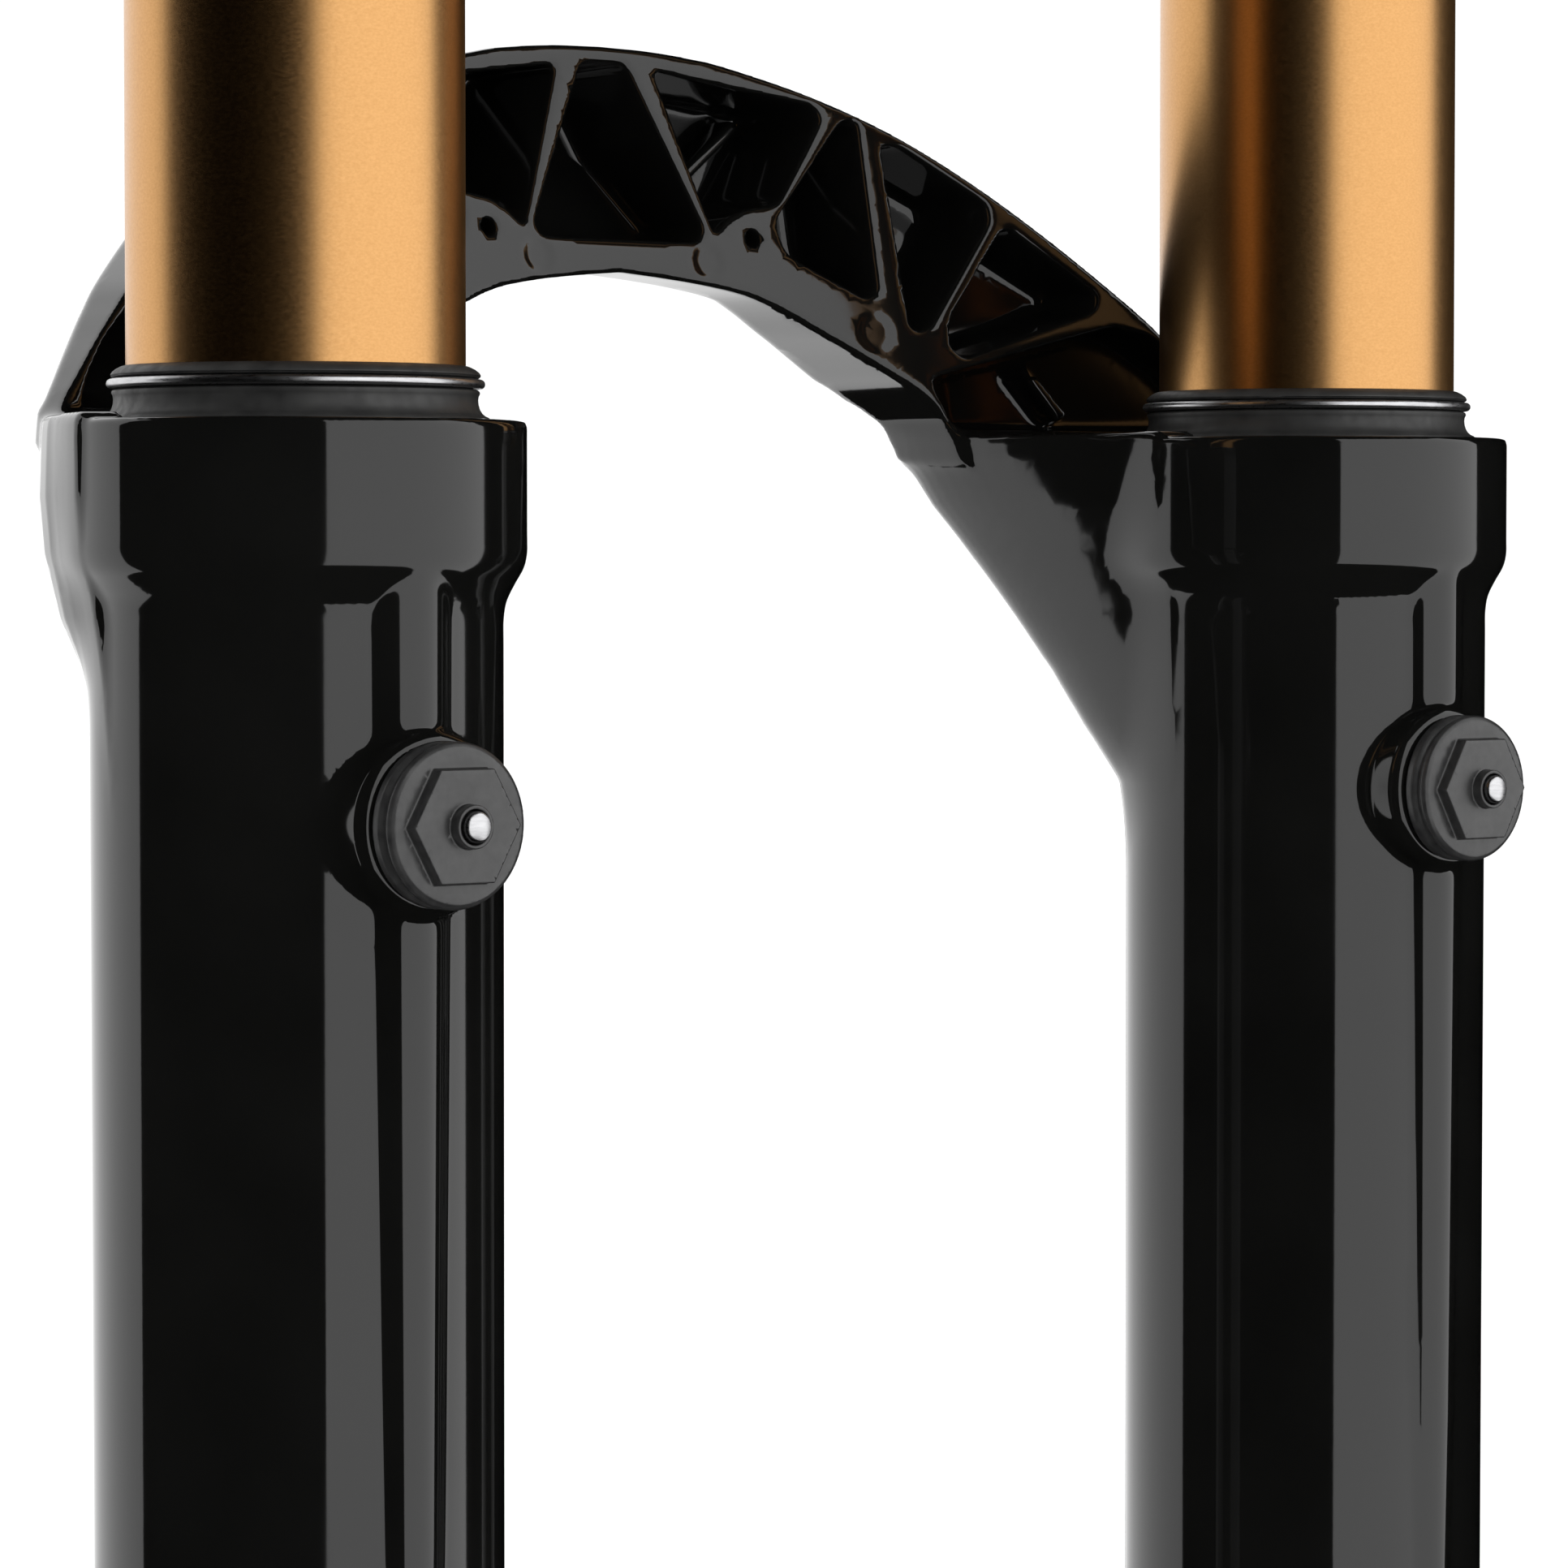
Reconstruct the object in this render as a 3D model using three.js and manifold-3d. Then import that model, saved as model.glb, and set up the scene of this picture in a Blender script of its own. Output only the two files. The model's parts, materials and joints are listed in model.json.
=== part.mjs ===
// Single-crown air-sprung mountain-bike suspension fork, one solid per separate piece.
// Millimetres. Origin on the steerer axis at the crown-race seat, +Z up the steerer,
// +Y forward (the way the bicycle travels), +X the rider's right. Drawn at full extension.
import * as THREE from 'three';
import { mergeVertices } from 'three/addons/utils/BufferGeometryUtils.js';
import Module from 'manifold-3d';

const wasm = await Module();
wasm.setup();

// ---- Driving dimensions ----
const LEG_X = 75.5;                // half the distance between the leg axes
const LEG_Y = 26;                  // leg axes ahead of the steerer axis
const AXLE_Y = 44;                 // axle ahead of the steerer axis (fork offset)
const AXLE_Z = -557;               // axle below the crown-race seat
const STANCHION_R = 18;
const STANCHION_BORE_R = 16.3;
const STANCHION_TOP_Z = 1;
const STANCHION_END_Z = -360;
const COLLAR_Z = -205;             // top face of the lowers' collars
const COLLAR_R = 24.5;
const LEG_R = 21.6;
const LEG_BORE_R = 19.7;
const SEAL_BORE_R = 21;
const SEAL_BORE_DEPTH = 20;
const LEG_END_Z = -538;            // flat face at the bottom of each leg
const LEG_FLOOR_Z = -529;          // inside floor of each leg
const FOOT_HOLE_R = 5.3;
const HUB_HALF = 55;               // half the hub spacing between the dropouts
const AXLE_R = 7.5;
const BOSS_R = 11.5;               // axle boss on each dropout
const BOSS_END_X = 88;
const CROWN_BOTTOM_Z = -35;
const CROWN_TOP_Z = 5;
const CROWN_SOCKET_R = 22.5;
const STEERER_TOP_Z = 250;
const STEERER_R = 14.3;            // 28.6 mm outside
const RACE_SEAT_R = 19.9;          // 39.8 mm crown-race seat
const RACE_SEAT_DEPTH = 2;         // how far the race seat is let into the crown
const BLEEDER_Z = COLLAR_Z - 42;
const SHAFT_R = 5;
const CARTRIDGE_R = 14;
const CARTRIDGE_BORE_R = 12.6;
const GAP = 0.3;                   // clearance between neighbouring pieces
const POST_SPACING = 74.2;         // brake post bolt spacing
const POST_REACH = 74;             // axle to the brake post faces, along the posts
const POST_TILT = Math.PI * 35 / 180;
const POST_X = -54;
const POST_R = 8;
const ROUND = 22;                  // segments round a large cylinder
const SMALL = 12;                  // segments round a small one

// ---- Helpers ----
const fork = new THREE.Group();
fork.name = 'suspension_fork';

function material(color, roughness, metalness) {
  return { color, roughness, metalness };
}

const GLOSS_BLACK = material(0x0d0d0c, 0.08, 0.0);
const SATIN_BLACK = material(0x1b1b1b, 0.4, 0.5);
const GOLD = material(0xc98b48, 0.25, 0.9);
const BLACK_RUBBER = material(0x2b2b2b, 0.7, 0.0);
const BRIGHT_STEEL = material(0xc8c8c8, 0.2, 1.0);
const BARE_ALLOY = material(0xa9abad, 0.35, 0.9);
const FOAM = material(0x3d3a36, 0.95, 0.0);
const BRONZE = material(0x9c7a4b, 0.5, 0.6);
const BLUE_ALLOY = material(0x1f4f9a, 0.3, 0.8);
const RED_ALLOY = material(0xa01f1f, 0.3, 0.8);
const SPACER_ORANGE = material(0xd9661c, 0.5, 0.0);
const POLYMER = material(0x4a4a48, 0.6, 0.0);

function add(name, geometry, look) {
  const mesh = new THREE.Mesh(geometry, new THREE.MeshStandardMaterial(look));
  mesh.name = name;
  fork.add(mesh);
}

function solidOf(geometry) {
  const bare = geometry.clone();
  bare.deleteAttribute('normal');
  bare.deleteAttribute('uv');
  const merged = mergeVertices(bare, 1e-4);
  return new wasm.Manifold(new wasm.Mesh({
    numProp: 3,
    vertProperties: new Float32Array(merged.attributes.position.array),
    triVerts: new Uint32Array(merged.index.array),
  }));
}

function geometryOf(solid) {
  const mesh = solid.getMesh();
  const geometry = new THREE.BufferGeometry();
  geometry.setAttribute('position', new THREE.BufferAttribute(new Float32Array(mesh.vertProperties), 3));
  geometry.setIndex(new THREE.BufferAttribute(new Uint32Array(mesh.triVerts), 1));
  geometry.computeVertexNormals();
  return geometry;
}

function join(first, ...others) {
  return geometryOf(others.reduce((sum, next) => sum.add(solidOf(next)), solidOf(first)));
}

function cut(first, ...others) {
  return geometryOf(others.reduce((rest, next) => rest.subtract(solidOf(next)), solidOf(first)));
}

// Revolves [radius, z] points about +Z.
function turned(profile, segments = ROUND) {
  const points = profile.map(([radius, z]) => new THREE.Vector2(radius, z));
  return new THREE.LatheGeometry(points, segments).rotateX(Math.PI / 2);
}

// Hollow tube about +Z with small chamfers at both ends.
function tube(inner, outer, low, high, segments = ROUND, edge = 0.4) {
  return turned([
    [inner, low],
    [outer - edge, low],
    [outer, low + edge],
    [outer, high - edge],
    [outer - edge, high],
    [inner, high],
    [inner, low],
  ], segments);
}

// Plain square-ended sleeve about +Z.
function sleeve(inner, outer, low, high, segments = ROUND) {
  return turned([[inner, low], [outer, low], [outer, high], [inner, high], [inner, low]], segments);
}

// Solid bar about +Z with small chamfers at both ends.
function bar(radius, low, high, segments = SMALL, edge = 0.4) {
  return turned([
    [0, low],
    [radius - edge, low],
    [radius, low + edge],
    [radius, high - edge],
    [radius - edge, high],
    [0, high],
  ], segments);
}

function polygonShape(points) {
  return new THREE.Shape(points.map(([a, b]) => new THREE.Vector2(a, b)));
}

// Prism over an [x, y] outline, from z = low to z = high.
function prismZ(points, low, high) {
  const plain = { depth: high - low, bevelEnabled: false };
  return new THREE.ExtrudeGeometry(polygonShape(points), plain).translate(0, 0, low);
}

// Prism over a [y, z] outline, from x = low to x = high.
function prismX(points, low, high) {
  const flat = prismZ(points, low, high);
  return flat.rotateX(Math.PI / 2).rotateZ(Math.PI / 2);
}

function arc(centreA, centreB, radius, from, to, steps) {
  const points = [];
  for (let i = 0; i <= steps; i += 1) {
    const angle = (from + (to - from) * i / steps) * Math.PI / 180;
    points.push([centreA + radius * Math.cos(angle), centreB + radius * Math.sin(angle)]);
  }
  return points;
}

function hexagon(acrossFlats) {
  return arc(0, 0, acrossFlats / Math.sqrt(3), 0, 300, 5);
}

// Cuts the corners of a closed outline with short arcs of the given radius.
function rounded(points, radius) {
  const result = [];
  const count = points.length;
  for (let i = 0; i < count; i += 1) {
    const here = new THREE.Vector2(...points[i]);
    const back = new THREE.Vector2(...points[(i + count - 1) % count]).sub(here);
    const next = new THREE.Vector2(...points[(i + 1) % count]).sub(here);
    const reach = Math.min(radius, 0.45 * back.length(), 0.45 * next.length());
    const start = here.clone().add(back.setLength(reach));
    const end = here.clone().add(next.setLength(reach));
    const curve = new THREE.QuadraticBezierCurve(start, here, end);
    curve.getPoints(2).forEach((point) => result.push([point.x, point.y]));
  }
  return result;
}

// Skin through equal rings of [x, y, z] points, closed at both ends.
function loft(rings) {
  const size = rings[0].length;
  const positions = rings.flat(2);
  const indices = [];
  for (let row = 0; row < rings.length - 1; row += 1) {
    for (let i = 0; i < size; i += 1) {
      const a = row * size + i;
      const b = row * size + (i + 1) % size;
      indices.push(a, b, b + size, a, b + size, a + size);
    }
  }
  const last = (rings.length - 1) * size;
  capTriangles(rings[0]).forEach(([a, b, c]) => indices.push(a, c, b));
  capTriangles(rings.at(-1)).forEach(([a, b, c]) => indices.push(last + a, last + b, last + c));
  const geometry = new THREE.BufferGeometry();
  geometry.setAttribute('position', new THREE.Float32BufferAttribute(positions, 3));
  geometry.setIndex(indices);
  return turnOutward(geometry);
}

// Triangles that fill a ring, wound the same way round as the ring itself.
function capTriangles(ring) {
  const flat = ring.map(([x, y]) => new THREE.Vector2(x, y));
  const ringTurn = Math.sign(THREE.ShapeUtils.area(flat));
  return THREE.ShapeUtils.triangulateShape(flat, []).map(([a, b, c]) => {
    const turn = Math.sign(THREE.ShapeUtils.area([flat[a], flat[b], flat[c]]));
    return turn === ringTurn ? [a, b, c] : [a, c, b];
  });
}

// Reverses the faces of a skin whose signed volume is negative.
function turnOutward(geometry) {
  const place = geometry.attributes.position;
  const order = geometry.index.array;
  const corner = [new THREE.Vector3(), new THREE.Vector3(), new THREE.Vector3()];
  let volume = 0;
  for (let i = 0; i < order.length; i += 3) {
    corner.forEach((point, k) => point.fromBufferAttribute(place, order[i + k]));
    volume += corner[0].dot(corner[1].clone().cross(corner[2]));
  }
  if (volume < 0) {
    for (let i = 0; i < order.length; i += 3) {
      [order[i + 1], order[i + 2]] = [order[i + 2], order[i + 1]];
    }
  }
  return geometry;
}

// Copy on the other side of the fork's middle plane, kept right side out.
function mirrored(geometry) {
  const copy = geometry.clone().scale(-1, 1, 1);
  const indexed = copy.index ? copy : mergeVertices(copy);
  const order = indexed.index.array;
  for (let i = 0; i < order.length; i += 3) {
    [order[i + 1], order[i + 2]] = [order[i + 2], order[i + 1]];
  }
  return indexed;
}

function atLeg(geometry, side) {
  return geometry.clone().translate(side * LEG_X, LEG_Y, 0);
}

// ---- Arch: a curved front wall with a rearward truss of webs and pockets ----
// The arch is drawn flat, x across and z up from the collar's top face, and each point is
// then set back on two bowed surfaces: the rear face and the front face.
function archRearY(x, z) {
  return LEG_Y + 40 + 0.15 * (z - 24) - (x * x) / 620;
}

function archDepth(x) {
  return 20 * (1 - (Math.abs(x) / 104) ** 2.2);
}

// Places a flat prism, y from 0 at the rear face to 1 at the front face, on the bowed surfaces.
function bowed(geometry) {
  const place = geometry.attributes.position;
  for (let i = 0; i < place.count; i += 1) {
    const x = place.getX(i);
    const z = place.getZ(i);
    place.setY(i, archRearY(x, z) + place.getY(i) * archDepth(x));
    place.setZ(i, z + COLLAR_Z);
  }
  return geometry;
}

const ARCH_TOP = [
  [0, 46.8], [7, 46.6], [13, 46.1], [19, 45.2], [30.8, 42.3], [42.4, 38.1], [53.5, 32.3],
  [64.4, 25.1], [75, 17.1], [80, 13.4], [84, 9.6], [87.3, 5.6], [89.6, 2], [90.6, -2],
];
const ARCH_UNDER = [
  [0, 19.6], [7, 19], [13, 18.3], [19, 17.2], [24, 15.4], [29, 13], [34, 10.6], [39, 8],
  [42, 6.4], [44.5, 4.6], [46, 2.9], [47, 1.2], [47.6, -0.6], [48, -2],
];
const RIM_ROUND = 1.2;

// Curved band between the upper and lower outlines, in flat arch coordinates.
function archBand() {
  const half = ARCH_TOP.map((top, i) => [top, ARCH_UNDER[i]]);
  const left = half.slice(1).reverse().map(([top, under]) => [[-top[0], top[1]], [-under[0], under[1]]]);
  const rings = [...left, ...half].map(([top, under]) => {
    const across = new THREE.Vector2(top[0] - under[0], top[1] - under[1]).setLength(RIM_ROUND);
    return [
      [under[0], 0, under[1]],
      [top[0] - 0.4 * across.x, 0, top[1] - 0.4 * across.y],
      [top[0], 0.06, top[1]],
      [top[0], 0.8, top[1]],
      [top[0] - across.x, 0.94, top[1] - across.y],
      [top[0] - 3 * across.x, 1, top[1] - 3 * across.y],
      [under[0] + across.x, 1, under[1] + across.y],
      [under[0], 0.95, under[1]],
    ];
  });
  return bowed(loft(rings));
}

// Pocket outlines on the right half, [x, z] above the collar.
const POCKETS = [
  [[7.4, 44.3], [31, 41.1], [32, 39.4], [24.4, 28.6], [20.1, 28], [16.6, 26.6], [14.6, 24.6], [13.6, 27]],
  [[35.2, 39.3], [37.4, 39.5], [38.8, 18.2], [37, 17.4], [25, 22.6], [23.8, 26.4]],
  [[40.6, 36.6], [43.3, 36.5], [55, 29.8], [55.3, 27.4], [45, 13.7], [42.4, 13.7]],
  [[57.6, 27], [69.8, 18.6], [69, 16.4], [50, 10.2], [47.9, 11.8], [48.4, 15.4]],
  [[44.6, 7.6], [71.8, 14.6], [77, 13.4], [81.6, 9.4], [84.8, 5.2], [86.6, 0.8], [47.8, 0.8]],
];
const CENTRE_POCKET = [
  [-3.2, 44.8], [3.2, 44.8], [12.8, 25.2], [11.8, 23.6], [-11.8, 23.6], [-12.8, 25.2],
];
const FLOOR_RIBS = [
  [[16.2, 30.9], [17.4, 30.2], [27.6, 38.6], [26.8, 39.6]],
  [[56.2, 8], [57.4, 8.4], [60.8, 3.6], [59.6, 2.8]],
];
const POCKET_FLOOR = 0.84;         // share of the arch's depth where each pocket ends
const MUDGUARD_HOLE = [20.1, 24.3];

function archPrism(outline, from, to) {
  const plain = { depth: to - from, bevelEnabled: false };
  const flat = new THREE.ExtrudeGeometry(polygonShape(outline), plain);
  flat.rotateX(Math.PI / 2);
  return bowed(flat.translate(0, to, 0));
}

function arch() {
  const pockets = [archPrism(rounded(CENTRE_POCKET, 1.6), -0.4, POCKET_FLOOR)];
  const ribs = [];
  POCKETS.forEach((outline) => {
    const pocket = archPrism(rounded(outline, 2.2), -0.4, POCKET_FLOOR);
    pockets.push(pocket, mirrored(pocket));
  });
  FLOOR_RIBS.forEach((outline) => {
    const rib = archPrism(outline, 0.55, 0.9);
    ribs.push(rib, mirrored(rib));
  });
  const hole = archPrism(arc(MUDGUARD_HOLE[0], MUDGUARD_HOLE[1], 1.05, 0, 330, 11), -0.4, 0.5);
  return join(cut(archBand(), ...pockets, hole, mirrored(hole)), ...ribs);
}

// Root of the arch below the collar's top face: plan sections in leg coordinates, [out, ahead],
// from the inner flank round the front to the outer flank.
const ROOT_SECTIONS = [
  [0.6, [
    [-24.2, 1], [-26.9, 20], [-27.6, 34], [-27, 43], [-23.6, 47.6],
    [-15, 48], [-4, 42.5], [8, 33.5], [18, 20], [24, 5],
  ]],
  [-2, [
    [-24.1, 1], [-26.4, 20], [-26.8, 33.5], [-25.9, 42.4], [-22.4, 46.1],
    [-14.5, 46.6], [-3, 41.6], [9, 32.3], [18.6, 20], [24.3, 5],
  ]],
  [-8, [
    [-23.7, 1], [-25.5, 18], [-26, 30.5], [-24.9, 39.6], [-21.2, 42.2],
    [-13.5, 42.6], [-3, 38.6], [8.5, 30.5], [18.4, 19], [24.1, 5],
  ]],
  [-14, [
    [-22.4, 1], [-24, 15], [-25, 27.5], [-24.2, 35], [-20.8, 38.2],
    [-13, 38.2], [-3, 35], [8, 28], [17.6, 17.8], [23, 5],
  ]],
  [-21, [
    [-21.2, 1], [-22.8, 13], [-23.4, 23.5], [-22.4, 30], [-19, 33],
    [-11.5, 33], [-3, 30.6], [7, 25.2], [16.2, 16.2], [21.5, 5],
  ]],
  [-28.5, [
    [-20.9, 1], [-21.8, 10.5], [-21.9, 19], [-20.6, 24.5], [-16.8, 27.5],
    [-9.5, 27.8], [-2, 26], [6.5, 21.8], [14.6, 14.6], [20.7, 4],
  ]],
  [-35, [
    [-20.7, 1], [-21, 8], [-20.9, 14.5], [-19.4, 19.3], [-15.5, 22.6],
    [-9, 23.4], [-2, 22.6], [6, 20], [14, 13.6], [20.3, 3],
  ]],
  [-42, [
    [-20.4, 1], [-20.4, 5], [-19.6, 9.5], [-17.8, 13.8], [-13.8, 17.4],
    [-8, 19.6], [-1, 19.9], [6, 18.6], [13.4, 13], [20, 2],
  ]],
];

function archRoot(side) {
  const rings = ROOT_SECTIONS.map(([height, flank]) => {
    const closed = [...flank, [12, -8], [-12, -8]];
    return closed.map(([out, ahead]) => [LEG_X + out, LEG_Y + ahead, COLLAR_Z + height]);
  });
  const skin = loft(rings);
  return side > 0 ? skin : mirrored(skin);
}

// ---- Lowers: both legs, the arch, the dropouts and the brake posts in one casting ----
function legBody() {
  return turned([
    [0, LEG_END_Z],
    [12.5, LEG_END_Z],
    [15.5, LEG_END_Z + 2],
    [18.6, LEG_END_Z + 8],
    [20.2, LEG_END_Z + 16],
    [21.2, LEG_END_Z + 34],
    [LEG_R - 0.1, COLLAR_Z - 200],
    [LEG_R, COLLAR_Z - 19.5],
    [22.4, COLLAR_Z - 18],
    [24, COLLAR_Z - 16],
    [COLLAR_R, COLLAR_Z - 14.6],
    [COLLAR_R, COLLAR_Z - 0.4],
    [COLLAR_R - 0.4, COLLAR_Z],
    [0, COLLAR_Z],
  ], 32);
}

function legBore() {
  return turned([
    [0, LEG_FLOOR_Z],
    [12, LEG_FLOOR_Z],
    [18.4, LEG_FLOOR_Z + 8],
    [LEG_BORE_R - 0.6, LEG_FLOOR_Z + 30],
    [LEG_BORE_R, COLLAR_Z - 180],
    [LEG_BORE_R, COLLAR_Z - SEAL_BORE_DEPTH],
    [SEAL_BORE_R, COLLAR_Z - SEAL_BORE_DEPTH],
    [SEAL_BORE_R, COLLAR_Z + 5],
    [0, COLLAR_Z + 5],
  ], ROUND);
}

const RIDGE_TOP_Z = COLLAR_Z - 14;
const RIDGE_END_Z = COLLAR_Z - 165;
const RIDGE_ROOT_Y = -12;          // inner side of the rib, inside the leg wall before it is bored

// Half-round rib down the back of a leg, tapering and fading into it.
function rearRidge() {
  const rows = [
    [RIDGE_END_Z, 2.5, -18.9],
    [COLLAR_Z - 118, 4, -18.5],
    [BLEEDER_Z, 5.2, -17.75],
    [RIDGE_TOP_Z, 5.6, -17.4],
  ];
  return loft(rows.map(([z, radius, y]) => {
    const bulge = arc(0, y, radius, 0, -180, 7);
    return [...bulge, [-radius, RIDGE_ROOT_Y], [radius, RIDGE_ROOT_Y]].map(([x, back]) => [x, back, z]);
  }));
}

function bleederBoss() {
  return turned([[0, 14], [10, 14], [9.8, 21.5], [9.7, 24.2], [8.9, 25], [0, 25]], 20)
    .rotateX(Math.PI / 2)
    .translate(0, 0, BLEEDER_Z);
}

function bleederHole() {
  return turned([[0, 15], [4.6, 15], [4.6, 27], [0, 27]], 14)
    .rotateX(Math.PI / 2)
    .translate(0, 0, BLEEDER_Z);
}

// Plate below and ahead of the leg that carries the axle boss, as a [y, z] outline.
function dropoutPlate() {
  const outline = [
    [LEG_Y - 9, LEG_END_Z + 44],
    [LEG_Y - 15, LEG_END_Z + 22],
    [LEG_Y - 10, LEG_END_Z + 2],
    ...arc(AXLE_Y, AXLE_Z, 14, 165, 375, 12),
    [AXLE_Y + 11, AXLE_Z + 26],
    [LEG_Y + 19, AXLE_Z + 48],
    [LEG_Y + 12, AXLE_Z + 66],
  ];
  return prismX(outline, HUB_HALF, 67);
}

function axleBoss() {
  const core = bar(BOSS_R, 60, BOSS_END_X, 22, 1).rotateY(Math.PI / 2).translate(0, AXLE_Y, AXLE_Z);
  const web = prismX([
    [AXLE_Y - 6, AXLE_Z + 8],
    [AXLE_Y + 9, AXLE_Z + 7],
    [AXLE_Y + 5, AXLE_Z + 30],
    [AXLE_Y + 1, AXLE_Z + 50],
    [AXLE_Y - 8, AXLE_Z + 50],
    [AXLE_Y - 6.5, AXLE_Z + 20],
  ], 64, 84);
  return join(core, web);
}

// Point at a distance out from the axle along the brake posts and up their line, as [y, z].
function postPoint(out, along) {
  return [
    AXLE_Y - out * Math.cos(POST_TILT) + along * Math.sin(POST_TILT),
    AXLE_Z + out * Math.sin(POST_TILT) + along * Math.cos(POST_TILT),
  ];
}

// Brake post: a round boss on a tapering arm from the back of the left leg.
function brakePost(along, depth, armTopZ, armLowZ) {
  const post = bar(POST_R, -depth, 0, SMALL, 0.6);
  post.rotateX(Math.PI / 2 - POST_TILT);
  const [y, z] = postPoint(POST_REACH, along);
  post.translate(POST_X, y, z);
  const [highY, highZ] = postPoint(POST_REACH - 2, along + POST_R - 1);
  const [lowY, lowZ] = postPoint(POST_REACH - 2, along - POST_R + 1);
  const [innerY, innerZ] = postPoint(POST_REACH - depth + 1, along - POST_R + 1);
  const arm = prismX([
    [highY, highZ],
    [lowY, lowZ],
    [innerY, innerZ],
    [LEG_Y - 4, armLowZ],
    [LEG_Y - 4, armTopZ],
  ], POST_X - 8.5, POST_X + 1);
  return join(post, arm);
}

function postHole(along) {
  const [y, z] = postPoint(POST_REACH, along);
  return bar(2.6, -16, 2, 16, 0.1).rotateX(Math.PI / 2 - POST_TILT).translate(POST_X, y, z);
}

function lowersCasting() {
  const solids = [arch()];
  [-1, 1].forEach((side) => {
    solids.push(atLeg(legBody(), side), atLeg(rearRidge(), side), atLeg(bleederBoss(), side));
    solids.push(archRoot(side));
    const foot = join(dropoutPlate(), axleBoss());
    solids.push(side > 0 ? foot : mirrored(foot));
  });
  solids.push(brakePost(POST_SPACING / 2, 20, -462, -505));
  solids.push(brakePost(-POST_SPACING / 2, 22, -498, -528));
  const holes = [];
  [-1, 1].forEach((side) => {
    holes.push(atLeg(legBore(), side), atLeg(bleederHole(), side));
    holes.push(atLeg(bar(FOOT_HOLE_R, LEG_END_Z - 5, LEG_FLOOR_Z + 3, SMALL, 0.1), side));
  });
  holes.push(bar(AXLE_R + GAP, -100, 60, 20, 0.1).rotateY(Math.PI / 2).translate(0, AXLE_Y, AXLE_Z));
  holes.push(bar(9.5 + GAP, 66, 100, 20, 0.1).rotateY(Math.PI / 2).translate(0, AXLE_Y, AXLE_Z));
  holes.push(bar(AXLE_R + GAP, 50, 70, 20, 0.1).rotateY(Math.PI / 2).translate(0, AXLE_Y, AXLE_Z));
  holes.push(postHole(POST_SPACING / 2), postHole(-POST_SPACING / 2));
  return cut(join(...solids), ...holes);
}

// ---- Crown, steerer and stanchions ----
// Forged crown: two arms seen from above as one [x, y] outline, a steerer boss, a socket for
// each stanchion, and hollowed ribs underneath.
function crown() {
  const armTop = [
    [-LEG_X, LEG_Y + CROWN_SOCKET_R],
    [-LEG_X - 4, LEG_Y],
    [-LEG_X + 4, LEG_Y - CROWN_SOCKET_R + 2],
    [-30, -13],
    [-18, -22],
    [18, -22],
    [30, -13],
    [LEG_X - 4, LEG_Y - CROWN_SOCKET_R + 2],
    [LEG_X + 4, LEG_Y],
    [LEG_X, LEG_Y + CROWN_SOCKET_R],
    [40, 38],
    [20, 30],
    [-20, 30],
    [-40, 38],
  ];
  const levels = [
    [-16, 0.97],
    [-13, 1],
    [-3, 1],
    [0, 0.97],
  ];
  const arms = loft(levels.map(([z, scale]) => rounded(armTop, 7).map(([x, y]) => [
    x * scale,
    (y - LEG_Y) * scale + LEG_Y,
    z,
  ])));
  const boss = turned([
    [0, -30],
    [20, -30],
    [23, -27],
    [24.5, -10],
    [23.4, -1.4],
    [22, 0],
    [0, 0],
  ], ROUND);
  const solids = [arms, boss];
  const holes = [];
  [-1, 1].forEach((side) => {
    const socket = turned([
      [0, CROWN_BOTTOM_Z],
      [CROWN_SOCKET_R - 1.2, CROWN_BOTTOM_Z],
      [CROWN_SOCKET_R, CROWN_BOTTOM_Z + 1.2],
      [CROWN_SOCKET_R, CROWN_TOP_Z - 1.5],
      [CROWN_SOCKET_R - 1.5, CROWN_TOP_Z],
      [0, CROWN_TOP_Z],
    ], ROUND);
    solids.push(atLeg(socket, side));
    const rib = prismX([[6, -15], [44, -15], [40, -24], [12, -27]], 20, 62);
    solids.push(side > 0 ? rib : mirrored(rib));
    holes.push(atLeg(turned([
      [0, CROWN_BOTTOM_Z - 2],
      [STANCHION_R + GAP, CROWN_BOTTOM_Z - 2],
      [STANCHION_R + GAP, CROWN_TOP_Z + 2],
      [0, CROWN_TOP_Z + 2],
    ], ROUND), side));
    const pocket = prismX([[13, -33], [37, -33], [34, -8], [16, -8]], 27, 50);
    holes.push(side > 0 ? pocket : mirrored(pocket));
  });
  holes.push(turned([
    [0, -40],
    [18.6, -40],
    [18.6, -RACE_SEAT_DEPTH],
    [RACE_SEAT_R + GAP, -RACE_SEAT_DEPTH],
    [RACE_SEAT_R + GAP, 5],
    [0, 5],
  ], ROUND));
  return cut(join(...solids), ...holes);
}

function steerer() {
  return turned([
    [13.4, -29],
    [17.9, -29],
    [18.3, -28.6],
    [18.3, GAP - RACE_SEAT_DEPTH],
    [RACE_SEAT_R - 0.5, GAP - RACE_SEAT_DEPTH],
    [RACE_SEAT_R, GAP + 0.5 - RACE_SEAT_DEPTH],
    [RACE_SEAT_R, 7],
    [18.6, 9],
    [17, 30],
    [STEERER_R, 85],
    [STEERER_R, STEERER_TOP_Z - 0.6],
    [STEERER_R - 0.6, STEERER_TOP_Z],
    [12, STEERER_TOP_Z],
    [12, 90],
    [13.4, 40],
    [13.4, -29],
  ], ROUND);
}

function stanchion() {
  return tube(STANCHION_BORE_R, STANCHION_R, STANCHION_END_Z, STANCHION_TOP_Z, 32, 0.5);
}

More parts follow.
